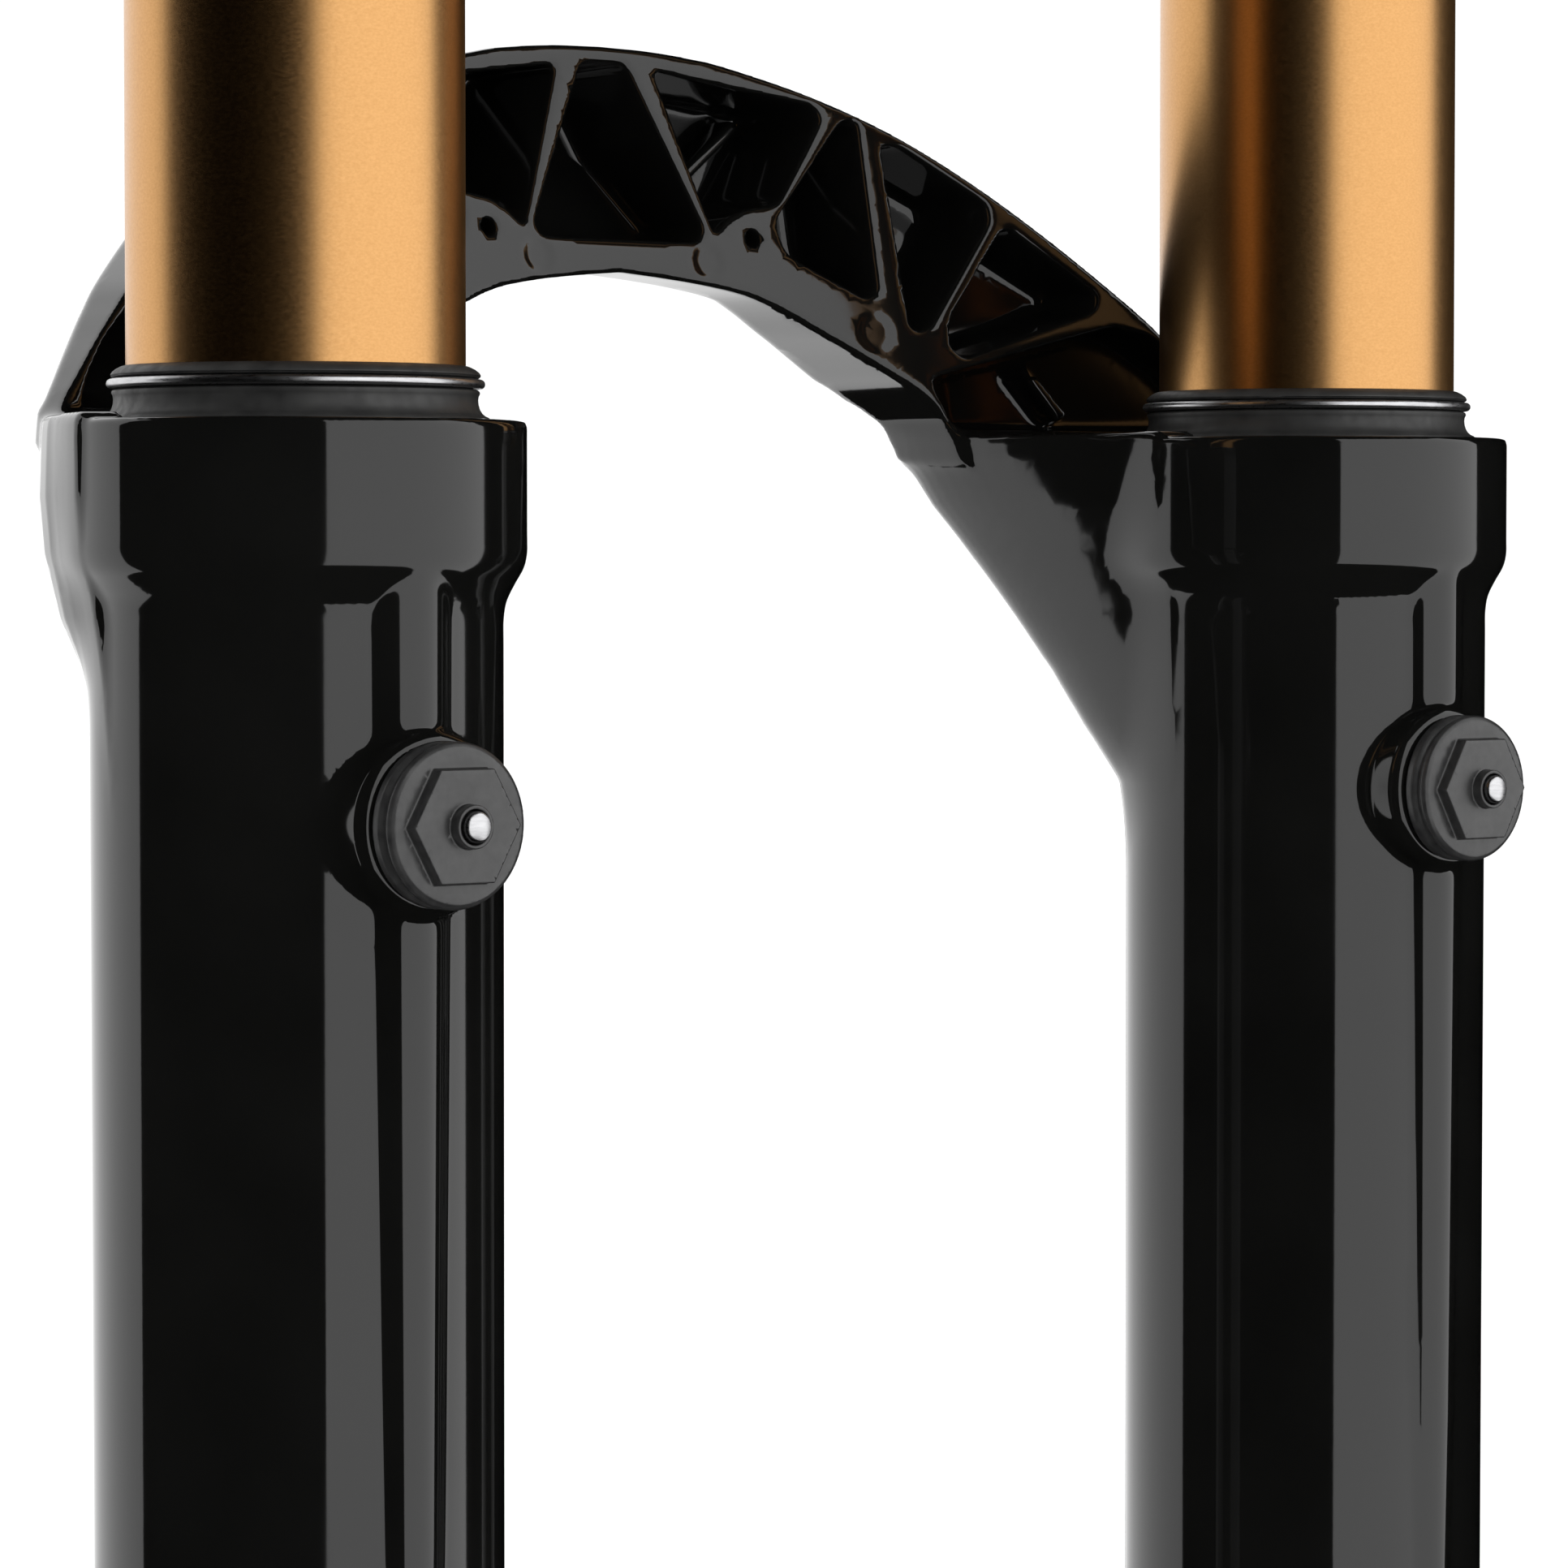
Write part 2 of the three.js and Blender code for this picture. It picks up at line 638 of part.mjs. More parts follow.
// ---- Left leg: air spring ----
function airTopCap() {
  const cap = turned([
    [2.6, -22],
    [13, -22],
    [13, -14],
    [STANCHION_BORE_R - GAP, -14],
    [STANCHION_BORE_R - GAP, STANCHION_TOP_Z + GAP],
    [17.4, STANCHION_TOP_Z + GAP],
    [17.4, 5.6],
    [16.6, 6.4],
    [9.5, 6.4],
    [8.5, 7.4],
    [4.6, 7.4],
    [4, 8],
    [4, 19],
    [3.5, 19.6],
    [2.6, 19.6],
    [2.6, -22],
  ], ROUND);
  const notches = [];
  for (let i = 0; i < 6; i += 1) {
    const notch = prismZ([[15.4, -1.6], [19, -1.6], [19, 1.6], [15.4, 1.6]], 3.4, 9);
    notches.push(notch.rotateZ(i * Math.PI / 3));
  }
  return cut(cap, ...notches);
}

function valvePin() {
  return turned([[0, -18], [2, -18], [2.2, -16], [2.2, -6], [0.8, -5], [0.8, 17.6], [0, 18]], 16);
}

function valveCap() {
  const cap = turned([
    [4 + GAP, 9],
    [6.4, 9],
    [6.8, 9.6],
    [6.8, 21],
    [5.8, 22.4],
    [0, 22.8],
    [0, 20.6],
    [4 + GAP, 20.6],
    [4 + GAP, 9],
  ], SMALL);
  const grooves = [];
  for (let i = 0; i < 8; i += 1) {
    grooves.push(bar(0.6, 8, 19.5, 6, 0.1).translate(7, 0, 0).rotateZ(i * Math.PI / 4));
  }
  return cut(cap, ...grooves);
}

function volumeSpacer(high) {
  return turned([
    [9, high - 17],
    [14.6, high - 17],
    [15, high - 16.6],
    [15, high - 10.4],
    [14.2, high - 9.6],
    [14.2, high - 7.4],
    [15, high - 6.6],
    [15, high - 0.4],
    [14.6, high],
    [4, high],
    [4, high - 3],
    [9, high - 3],
    [9, high - 17],
  ], SMALL);
}

const PISTON_BASE_Z = -334;

function airPiston() {
  return turned([
    [0, PISTON_BASE_Z],
    [14, PISTON_BASE_Z],
    [16, PISTON_BASE_Z + 1],
    [16, PISTON_BASE_Z + 5],
    [14.6, PISTON_BASE_Z + 5.4],
    [14.6, PISTON_BASE_Z + 8.6],
    [16, PISTON_BASE_Z + 9],
    [16, PISTON_BASE_Z + 13],
    [13, PISTON_BASE_Z + 14],
    [8, PISTON_BASE_Z + 14],
    [8, PISTON_BASE_Z + 11],
    [0, PISTON_BASE_Z + 11],
  ], ROUND);
}

function airShaft() {
  return tube(3.2, SHAFT_R, LEG_FLOOR_Z + GAP, PISTON_BASE_Z - GAP, SMALL);
}

function sealHead(outer) {
  return turned([
    [SHAFT_R + GAP, STANCHION_END_Z + 2],
    [outer - 1, STANCHION_END_Z + 2],
    [outer, STANCHION_END_Z + 3],
    [outer, STANCHION_END_Z + 6],
    [outer - 1.4, STANCHION_END_Z + 6.5],
    [outer - 1.4, STANCHION_END_Z + 9],
    [outer, STANCHION_END_Z + 9.5],
    [outer, STANCHION_END_Z + 13],
    [SHAFT_R + 4, STANCHION_END_Z + 15],
    [SHAFT_R + GAP, STANCHION_END_Z + 15],
    [SHAFT_R + GAP, STANCHION_END_Z + 2],
  ], ROUND);
}

function bumper(low, high) {
  const middle = (low + high) / 2;
  return turned([
    [SHAFT_R + GAP, low],
    [8.6, low],
    [9.2, low + 0.8],
    [7.6, middle],
    [9.2, high - 0.8],
    [8.6, high],
    [SHAFT_R + GAP, high],
    [SHAFT_R + GAP, low],
  ], SMALL);
}

function crushWasher() {
  return sleeve(FOOT_HOLE_R, 8.2, LEG_END_Z - 1.5, LEG_END_Z - GAP, SMALL);
}

// Hexagonal foot nut with a threaded neck up into the shaft, open through the middle.
function footNut() {
  const head = prismZ(hexagon(13), LEG_END_Z - 6.6, LEG_END_Z - 1.8);
  const neck = bar(SHAFT_R - 0.1, LEG_END_Z - 3, LEG_FLOOR_Z - 0.1, SMALL);
  return cut(join(head, neck), bar(2.6, LEG_END_Z - 8, LEG_FLOOR_Z + 2, 16, 0.1));
}

// ---- Right leg: damper cartridge ----
const KNOB_BASE_Z = 7;

function damperTopCap() {
  return turned([
    [3.3, -20],
    [CARTRIDGE_R - 2, -20],
    [CARTRIDGE_R - 2, -10],
    [STANCHION_BORE_R - GAP, -10],
    [STANCHION_BORE_R - GAP, STANCHION_TOP_Z + GAP],
    [17.4, STANCHION_TOP_Z + GAP],
    [17.4, 5.6],
    [16.6, 6.4],
    [8, 6.4],
    [3.3, 6.4],
    [3.3, -20],
  ], ROUND);
}

function outerKnob() {
  const knob = turned([
    [7.3, KNOB_BASE_Z],
    [14, KNOB_BASE_Z],
    [14.6, KNOB_BASE_Z + 0.6],
    [14.6, KNOB_BASE_Z + 6],
    [13.6, KNOB_BASE_Z + 7],
    [9.4, KNOB_BASE_Z + 7],
    [7.3, KNOB_BASE_Z + 6],
    [7.3, KNOB_BASE_Z],
  ], ROUND);
  const flutes = [];
  for (let i = 0; i < 10; i += 1) {
    const flute = bar(2, KNOB_BASE_Z - 1, KNOB_BASE_Z + 9, 8, 0.1).translate(15.6, 0, 0);
    flutes.push(flute.rotateZ(i * Math.PI / 5));
  }
  return cut(knob, ...flutes);
}

function innerKnob() {
  const knob = turned([
    [0, -18],
    [3, -18],
    [3, KNOB_BASE_Z - GAP],
    [7, KNOB_BASE_Z],
    [7, KNOB_BASE_Z + 7.5],
    [8.6, KNOB_BASE_Z + 7.8],
    [9, KNOB_BASE_Z + 8.4],
    [9, KNOB_BASE_Z + 12],
    [8.2, KNOB_BASE_Z + 13],
    [0, KNOB_BASE_Z + 13],
  ], SMALL);
  const flutes = [];
  for (let i = 0; i < 8; i += 1) {
    const flute = bar(1.2, KNOB_BASE_Z + 7.6, KNOB_BASE_Z + 14, 10, 0.1).translate(9.6, 0, 0);
    flutes.push(flute.rotateZ(i * Math.PI / 4));
  }
  return cut(knob, ...flutes);
}

const CARTRIDGE_TOP_Z = -10 - GAP;
const FLOAT_BASE_Z = -92;
const FLOAT_HEIGHT = 12;
const VALVE_ROD_R = 4;

function cartridgeTube() {
  return tube(CARTRIDGE_BORE_R, CARTRIDGE_R, STANCHION_END_Z + 16, CARTRIDGE_TOP_Z, ROUND);
}

function compressionValve() {
  return turned([
    [0, -124],
    [10.8, -124],
    [12.3, -123],
    [12.3, -117],
    [11, -115.6],
    [6, -115.6],
    [6, -113],
    [VALVE_ROD_R, -112],
    [VALVE_ROD_R, -20 - GAP],
    [0, -20 - GAP],
  ], SMALL);
}

function floatingPiston() {
  return turned([
    [VALVE_ROD_R + GAP, FLOAT_BASE_Z],
    [11.4, FLOAT_BASE_Z],
    [12.3, FLOAT_BASE_Z + 1],
    [12.3, FLOAT_BASE_Z + 4.4],
    [11, FLOAT_BASE_Z + 4.8],
    [11, FLOAT_BASE_Z + 7.2],
    [12.3, FLOAT_BASE_Z + 7.6],
    [12.3, FLOAT_BASE_Z + FLOAT_HEIGHT - 0.8],
    [11.4, FLOAT_BASE_Z + FLOAT_HEIGHT],
    [VALVE_ROD_R + GAP, FLOAT_BASE_Z + FLOAT_HEIGHT],
    [VALVE_ROD_R + GAP, FLOAT_BASE_Z],
  ], SMALL);
}

const SPRING_LOW_Z = FLOAT_BASE_Z + FLOAT_HEIGHT + GAP;
const SPRING_HIGH_Z = -20 - GAP;
const SPRING_COILS = 6;
const SPRING_WIRE_R = 0.9;
const SPRING_COIL_R = 9.4;

// Coil spring between the floating piston and the top cap.
function floatSpring() {
  const points = [];
  const steps = SPRING_COILS * 14;
  const low = SPRING_LOW_Z + SPRING_WIRE_R;
  const high = SPRING_HIGH_Z - SPRING_WIRE_R;
  for (let i = 0; i <= steps; i += 1) {
    const turn = 2 * Math.PI * SPRING_COILS * i / steps;
    points.push(new THREE.Vector3(
      SPRING_COIL_R * Math.cos(turn),
      SPRING_COIL_R * Math.sin(turn),
      low + (high - low) * i / steps,
    ));
  }
  const path = new THREE.CatmullRomCurve3(points);
  const wire = new THREE.Shape();
  wire.absarc(0, 0, SPRING_WIRE_R, 0, 2 * Math.PI);
  return new THREE.ExtrudeGeometry(wire, {
    steps: SPRING_COILS * 8,
    curveSegments: 3,
    bevelEnabled: false,
    extrudePath: path,
  });
}

const DAMPER_PISTON_Z = -322;

function damperPiston() {
  const height = 9;
  return turned([
    [2.3, DAMPER_PISTON_Z],
    [11, DAMPER_PISTON_Z],
    [12.3, DAMPER_PISTON_Z + 1],
    [12.3, DAMPER_PISTON_Z + height - 1],
    [11, DAMPER_PISTON_Z + height],
    [2.3, DAMPER_PISTON_Z + height],
    [2.3, DAMPER_PISTON_Z],
  ], SMALL);
}

function damperShaft() {
  return tube(2.3, SHAFT_R, LEG_FLOOR_Z + GAP, DAMPER_PISTON_Z - GAP, SMALL);
}

function reboundRod() {
  return bar(2, LEG_END_Z - 7.4, DAMPER_PISTON_Z + 4, 16);
}

// Rebound knob below the right leg: a fluted cup turned from underneath.
function reboundKnob() {
  const top = LEG_END_Z - 7.4 - GAP;
  const knob = turned([
    [0, top - 9],
    [5.2, top - 9],
    [6.2, top - 8],
    [6.2, top - 1],
    [5.6, top],
    [0, top],
  ], SMALL);
  const flutes = [];
  for (let i = 0; i < 8; i += 1) {
    flutes.push(bar(1.1, top - 10, top - 1.6, 10, 0.1).translate(6.6, 0, 0).rotateZ(i * Math.PI / 4));
  }
  return cut(knob, ...flutes);
}

// ---- Pieces at the top and inside of each lower leg ----
function wiperSeal() {
  const low = COLLAR_Z - 9;
  return turned([
    [STANCHION_R + 0.2, low],
    [SEAL_BORE_R - GAP, low],
    [SEAL_BORE_R - GAP, COLLAR_Z + 0.1],
    [20.2, COLLAR_Z + 0.5],
    [19.4, COLLAR_Z + 1.6],
    [19.2, COLLAR_Z + 2.6],
    [19.5, COLLAR_Z + 3],
    [18.7, COLLAR_Z + 3.4],
    [18.7, COLLAR_Z + 4.4],
    [19.6, COLLAR_Z + 4.7],
    [19.1, COLLAR_Z + 5.4],
    [STANCHION_R + 0.2, COLLAR_Z + 5.8],
    [STANCHION_R + 0.2, low],
  ], 26);
}

function garterRing() {
  const ring = new THREE.TorusGeometry(19.55, 0.5, 6, 24);
  return ring.translate(0, 0, COLLAR_Z + 3.9);
}

function foamRing() {
  return sleeve(STANCHION_R + GAP, SEAL_BORE_R - GAP, COLLAR_Z - 19.5, COLLAR_Z - 9 - GAP);
}

function bushing(high, height) {
  return sleeve(STANCHION_R + GAP, LEG_BORE_R - GAP, high - height, high);
}

// ---- Bleeders ----
function bleederBody() {
  const round = turned([
    [0, 18.7],
    [4.2, 18.7],
    [4.2, 25 + GAP],
    [8.7, 25 + GAP],
    [8.7, 26.8],
    [8.1, 27.1],
    [8.1, 27.6],
    [8.7, 27.9],
    [8.6, 28.8],
    [8.2, 29.3],
    [0, 29.6],
  ], 20);
  const hex = prismZ(hexagon(11.8), 28, 30.3);
  const hole = bar(1.9, 18, 32, SMALL, 0.1);
  return cut(join(round, hex), hole).rotateX(Math.PI / 2).translate(0, 0, BLEEDER_Z);
}

function bleedButton() {
  return turned([[0, 21], [1.6, 21], [1.6, 32], [1.3, 32.4], [0, 32.5]], 16)
    .rotateX(Math.PI / 2)
    .translate(0, 0, BLEEDER_Z);
}

// ---- Thru axle, lever and nut ----
function acrossX(geometry) {
  return geometry.rotateY(Math.PI / 2).translate(0, AXLE_Y, AXLE_Z);
}

const HEAD_X = -BOSS_END_X - GAP;
const LEVER_PIVOT_X = HEAD_X - 10.4;

function thruAxle() {
  const shaft = turned([
    [0, LEVER_PIVOT_X - 4],
    [5, LEVER_PIVOT_X - 4],
    [5, HEAD_X - 3.2],
    [10.6, HEAD_X - 3.2],
    [11.2, HEAD_X - 2.6],
    [11.2, HEAD_X],
    [AXLE_R, HEAD_X],
    [AXLE_R, 66],
    [6.6, 67],
    [6.6, 83],
    [6, 84],
    [0, 84],
  ], 20);
  const cheek = new THREE.BoxGeometry(14, 12, 15).translate(0, 0, LEVER_PIVOT_X - 0.5);
  const pinHole = bar(1.8, -10, 10, 16, 0.1).rotateX(Math.PI / 2).translate(0, 0, LEVER_PIVOT_X);
  return acrossX(cut(shaft, cutSides(cheek), pinHole));
}

// Two side blocks that leave a flat tongue on the end of the axle.
function cutSides(block) {
  const left = block.clone().translate(0, 9, 0);
  const right = block.clone().translate(0, -9, 0);
  return join(left, right);
}

function leverPin() {
  return bar(1.5, -7.4, 7.4, 16).rotateX(Math.PI / 2)
    .translate(LEVER_PIVOT_X, AXLE_Y, AXLE_Z);
}

// Cam lever standing up outside the leg when closed: a forked cam and a curved blade.
function axleLever() {
  const cam = turned([[0, -7.2], [6.4, -7.2], [6.8, -6.8], [6.8, 6.8], [6.4, 7.2], [0, 7.2]], SMALL)
    .rotateX(Math.PI / 2);
  const blade = prismZ(rounded([
    [-6.4, -2],
    [-9.4, 12],
    [-9.8, 30],
    [-7.6, 56],
    [-10, 72],
    [-6.4, 73],
    [-3, 56],
    [-4.4, 30],
    [-1, 10],
    [3, 4],
  ], 2), -6.6, 6.6).rotateX(Math.PI / 2);
  const slot = new THREE.BoxGeometry(30, 6.9, 14.6).translate(8, 0, 0);
  const pinHole = bar(1.8, -10, 10, 16, 0.1).rotateX(Math.PI / 2);
  return cut(join(cam, blade), slot, pinHole).translate(LEVER_PIVOT_X, AXLE_Y, AXLE_Z);
}

function axleNut() {
  return acrossX(turned([
    [AXLE_R - 0.6, 68],
    [9.5, 68],
    [9.5, 88.4],
    [12, 88.4],
    [12.4, 88.8],
    [12.4, 90.6],
    [11.6, 91.4],
    [0, 91.4],
    [0, 86],
    [AXLE_R - 0.6, 86],
    [AXLE_R - 0.6, 68],
  ], 24));
}

// ---- Assembly ----
add('crown', crown(), GLOSS_BLACK);
add('steerer_tube', steerer(), SATIN_BLACK);
add('lowers_casting', lowersCasting(), GLOSS_BLACK);

[[-1, 'left'], [1, 'right']].forEach(([side, name]) => {
  add(`${name}_stanchion`, atLeg(stanchion(), side), GOLD);
  add(`${name}_wiper_seal`, atLeg(wiperSeal(), side), BLACK_RUBBER);
  add(`${name}_garter_spring`, atLeg(garterRing(), side), BRIGHT_STEEL);
  add(`${name}_foam_ring`, atLeg(foamRing(), side), FOAM);
  add(`${name}_upper_bushing`, atLeg(bushing(COLLAR_Z - 21, 14), side), BRONZE);
  add(`${name}_lower_bushing`, atLeg(bushing(COLLAR_Z - 120, 20), side), BRONZE);
  add(`${name}_bleeder_body`, atLeg(bleederBody(), side), SATIN_BLACK);
  add(`${name}_bleed_button`, atLeg(bleedButton(), side), BRIGHT_STEEL);
  add(`${name}_crush_washer`, atLeg(crushWasher(), side), BARE_ALLOY);
  add(`${name}_foot_nut`, atLeg(footNut(), side), SATIN_BLACK);
});

add('air_spring_top_cap', atLeg(airTopCap(), -1), SATIN_BLACK);
add('air_valve_pin', atLeg(valvePin(), -1), BRONZE);
add('air_valve_cap', atLeg(valveCap(), -1), BLUE_ALLOY);
add('upper_volume_spacer', atLeg(volumeSpacer(-24), -1), SPACER_ORANGE);
add('lower_volume_spacer', atLeg(volumeSpacer(-41.4), -1), SPACER_ORANGE);
add('air_piston', atLeg(airPiston(), -1), POLYMER);
add('air_shaft', atLeg(airShaft(), -1), BARE_ALLOY);
add('air_seal_head', atLeg(sealHead(STANCHION_BORE_R - GAP), -1), POLYMER);
add('bottom_out_bumper', atLeg(bumper(LEG_FLOOR_Z + 1, LEG_FLOOR_Z + 7), -1), BLACK_RUBBER);

add('damper_top_cap', atLeg(damperTopCap(), 1), SATIN_BLACK);
add('high_speed_compression_knob', atLeg(outerKnob(), 1), BLUE_ALLOY);
add('low_speed_compression_knob', atLeg(innerKnob(), 1), SATIN_BLACK);
add('damper_cartridge_tube', atLeg(cartridgeTube(), 1), BARE_ALLOY);
add('compression_valve', atLeg(compressionValve(), 1), BARE_ALLOY);
add('floating_piston', atLeg(floatingPiston(), 1), POLYMER);
add('floating_piston_spring', atLeg(floatSpring(), 1), BRIGHT_STEEL);
add('damper_piston', atLeg(damperPiston(), 1), BRONZE);
add('damper_shaft', atLeg(damperShaft(), 1), BARE_ALLOY);
add('damper_seal_head', atLeg(sealHead(STANCHION_BORE_R - GAP), 1), POLYMER);
add('rebound_rod', atLeg(reboundRod(), 1), BARE_ALLOY);
add('rebound_knob', atLeg(reboundKnob(), 1), RED_ALLOY);

add('thru_axle', thruAxle(), SATIN_BLACK);
add('axle_lever_pin', leverPin(), BRIGHT_STEEL);
add('axle_lever', axleLever(), SATIN_BLACK);
add('axle_nut', axleNut(), SATIN_BLACK);

export default fork;
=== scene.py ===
"""Looks of the suspension fork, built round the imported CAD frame.

Castings and cut pieces are drawn as signed distances on a fine lattice and skinned with
OpenVDB, so their edges and fillets are real shape. Round pieces are finely turned. Lengths
inside the drawing functions are millimetres, in the part's frame: origin at the crown-race
seat, +Z up the steerer, +Y forward, +X the rider's right.
"""

import copy
import json
import math

import bmesh
import bpy
import numpy as np
import openvdb as vdb
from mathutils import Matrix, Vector

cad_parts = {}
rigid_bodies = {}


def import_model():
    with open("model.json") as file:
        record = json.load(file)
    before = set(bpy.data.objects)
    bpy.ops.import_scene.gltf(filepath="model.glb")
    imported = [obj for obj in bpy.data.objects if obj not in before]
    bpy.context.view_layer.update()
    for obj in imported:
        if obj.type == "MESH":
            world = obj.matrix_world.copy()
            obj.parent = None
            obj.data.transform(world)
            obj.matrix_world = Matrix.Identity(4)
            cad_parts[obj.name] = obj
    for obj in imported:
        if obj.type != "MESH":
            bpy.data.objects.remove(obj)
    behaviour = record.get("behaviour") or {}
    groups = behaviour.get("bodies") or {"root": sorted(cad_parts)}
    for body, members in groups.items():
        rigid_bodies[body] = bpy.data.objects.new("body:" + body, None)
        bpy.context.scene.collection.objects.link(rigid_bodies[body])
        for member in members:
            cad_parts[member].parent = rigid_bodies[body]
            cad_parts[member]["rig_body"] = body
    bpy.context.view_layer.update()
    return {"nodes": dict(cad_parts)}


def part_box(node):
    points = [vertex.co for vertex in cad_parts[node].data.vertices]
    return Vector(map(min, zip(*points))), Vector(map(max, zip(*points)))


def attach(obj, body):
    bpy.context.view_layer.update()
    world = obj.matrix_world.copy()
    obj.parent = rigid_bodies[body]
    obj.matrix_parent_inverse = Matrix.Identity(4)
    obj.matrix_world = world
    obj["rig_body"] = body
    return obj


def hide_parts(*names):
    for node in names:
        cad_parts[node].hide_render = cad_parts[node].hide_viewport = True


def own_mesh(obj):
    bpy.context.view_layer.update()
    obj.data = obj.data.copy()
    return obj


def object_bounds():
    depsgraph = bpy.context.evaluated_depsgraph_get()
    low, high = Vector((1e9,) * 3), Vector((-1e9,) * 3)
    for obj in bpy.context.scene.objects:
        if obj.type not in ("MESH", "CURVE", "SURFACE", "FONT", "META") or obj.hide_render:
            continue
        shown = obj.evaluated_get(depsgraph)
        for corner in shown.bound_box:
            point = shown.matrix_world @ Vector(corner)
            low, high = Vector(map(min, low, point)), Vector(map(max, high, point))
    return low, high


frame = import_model()

MM = 0.001
LEG_X = 75.5
LEG_Y = 26.0
AXLE_Y = 44.0
AXLE_Z = -557.0
COLLAR_Z = -205.0
LEG_END_Z = -538.0
LEG_FLOOR_Z = -529.0
BLEEDER_Z = COLLAR_Z - 42
STANCHION_R = 18.0
HUB_HALF = 55.0
BOSS_END_X = 88.0
POST_TILT = math.radians(35)
POST_X = -54.0
POST_REACH = 74.0
POST_SPACING = 74.2
FAR = 1e3
SIDES = ((-1, "left"), (1, "right"))
SHARP_ANGLE = math.radians(38)


# ---- Outlines and signed distances ----
def smooth(points, per=5):
    """Catmull-Rom curve through open points, per steps between neighbours."""
    p = np.array(points, float)
    ends = np.vstack([2 * p[0] - p[1], p, 2 * p[-1] - p[-2]])
    result = []
    for i in range(1, len(ends) - 2):
        a, b, c, d = ends[i - 1 : i + 3]
        for t in np.arange(per) / per:
            cubic = (3 * (b - c) + d - a) * t**3 + (2 * a - 5 * b + 4 * c - d) * t**2
            result.append(b + 0.5 * (cubic + (c - a) * t))
    result.append(p[-1])
    return np.array(result)


def rounded(points, radius, steps=5):
    """Closed outline with each corner drawn as a short curve of about that radius."""
    result = []
    corners = np.array(points, float)
    for before, here, after in zip(np.roll(corners, 1, 0), corners, np.roll(corners, -1, 0)):
        back, ahead = before - here, after - here
        reach = min(radius, 0.45 * np.hypot(*back), 0.45 * np.hypot(*ahead))
        start = here + back * reach / np.hypot(*back)
        end = here + ahead * reach / np.hypot(*ahead)
        for t in np.arange(steps + 1) / steps:
            result.append((1 - t) ** 2 * start + 2 * t * (1 - t) * here + t * t * end)
    return np.array(result)


def arc(centre_a, centre_b, radius, start, end, steps):
    turns = np.radians(np.linspace(start, end, steps + 1))
    return [(centre_a + radius * math.cos(t), centre_b + radius * math.sin(t)) for t in turns]


def outline_distance(outline, a, b):
    """Distance from each (a, b) to a closed outline, below zero inside."""
    a, b = np.broadcast_arrays(np.asarray(a, np.float32), np.asarray(b, np.float32))
    points = np.asarray(outline, np.float32)
    nearest = np.full(a.shape, FAR * FAR, np.float32)
    inside = np.zeros(a.shape, bool)
    for (a0, b0), (a1, b1) in zip(points, np.roll(points, -1, 0)):
        da, db = a1 - a0, b1 - b0
        share = np.clip(((a - a0) * da + (b - b0) * db) / (da * da + db * db + 1e-9), 0, 1)
        nearest = np.minimum(nearest, (a - a0 - share * da) ** 2 + (b - b0 - share * db) ** 2)
        if b0 != b1:
            crosses = (b0 > b) != (b1 > b)
            inside ^= crosses & (a < a0 + (b - b0) * da / db)
    return np.where(inside, -1, 1).astype(np.float32) * np.sqrt(nearest)


def turned(profile, radius, height):
    """Solid of revolution: profile is [radius, height] points from axis to axis."""
    radius, height = np.asarray(radius, np.float32), np.asarray(height, np.float32)
    both = list(profile) + [(-r, h) for r, h in reversed(profile)]
    step = 0.1
    across = np.arange(0, radius.max() + 2 * step, step, dtype=np.float32)
    table = outline_distance(both, across[:, None], height[None, :])
    low = (radius / step).astype(int)
    share = (radius / step - low)[..., None].astype(np.float32)
    return table[low] * (1 - share) + table[low + 1] * share


def join(first, second, reach=0.0):
    """Union, with a fillet that starts about reach away from the meeting line."""
    if reach <= 0:
        return np.minimum(first, second)
    share = np.clip(0.5 + 0.5 * (second - first) / reach, 0, 1)
    return second * (1 - share) + first * share - reach * share * (1 - share)


def keep(first, second, reach=0.0):
    """What lies in both, with its edges rounded."""
    return -join(-first, -second, reach)


def cut(first, second, reach=0.0):
    """First with second taken away, with its edges rounded."""
    return -join(-first, second, reach)


# ---- Lattices and skins ----
class Block:
    """Distances sampled on a lattice of one step, from low to high corner in millimetres."""

    def __init__(self, low, high, step, draw, flip=False):
        self.step, self.flip = step, flip
        self.first = np.floor(np.array(low) / step).astype(int)
        last = np.ceil(np.array(high) / step).astype(int)
        lines = [np.arange(self.first[i], last[i] + 1, dtype=np.float32) * step for i in range(3)]
        x, y, z = lines[0][:, None, None], lines[1][None, :, None], lines[2][None, None, :]
        self.values = np.broadcast_to(
            np.clip(draw(x, y, z), -3 * step, 3 * step).astype(np.float32),
            tuple(len(line) for line in lines),
        )

    def flipped(self):
        """The same samples, mirrored to the left side."""
        twin = copy.copy(self)
        twin.flip = True
        return twin

    def fill(self, grid):
        values, corner = self.values, self.first.copy()
        if self.flip:
            values = values[::-1]
            corner[0] = -(self.first[0] + values.shape[0] - 1)
        grid.copyFromArray(np.ascontiguousarray(values) / self.step, ijk=tuple(int(c) for c in corner))

    def slope(self, points):
        """Directions of steepest rise at lattice points, and which points the block holds."""
        spots = points * ([-1, 1, 1] if self.flip else [1, 1, 1]) - self.first
        size = np.array(self.values.shape)
        held = ((spots >= 0.5) & (spots <= size - 1.5)).all(1)
        here = np.clip(spots, 1.001, size - 2.002)
        rise = np.stack([self.sample(here + e) - self.sample(here - e) for e in np.eye(3)], 1)
        return rise * ([-1, 1, 1] if self.flip else [1, 1, 1]), held

    def sample(self, spots):
        low = np.clip(np.floor(spots).astype(int), 0, np.array(self.values.shape) - 2)
        share = spots - low
        total = np.zeros(len(spots))
        for corner in np.ndindex(2, 2, 2):
            weight = np.prod(np.where(corner, share, 1 - share), 1)
            total += weight * self.values[tuple((low + corner).T)]
        return total


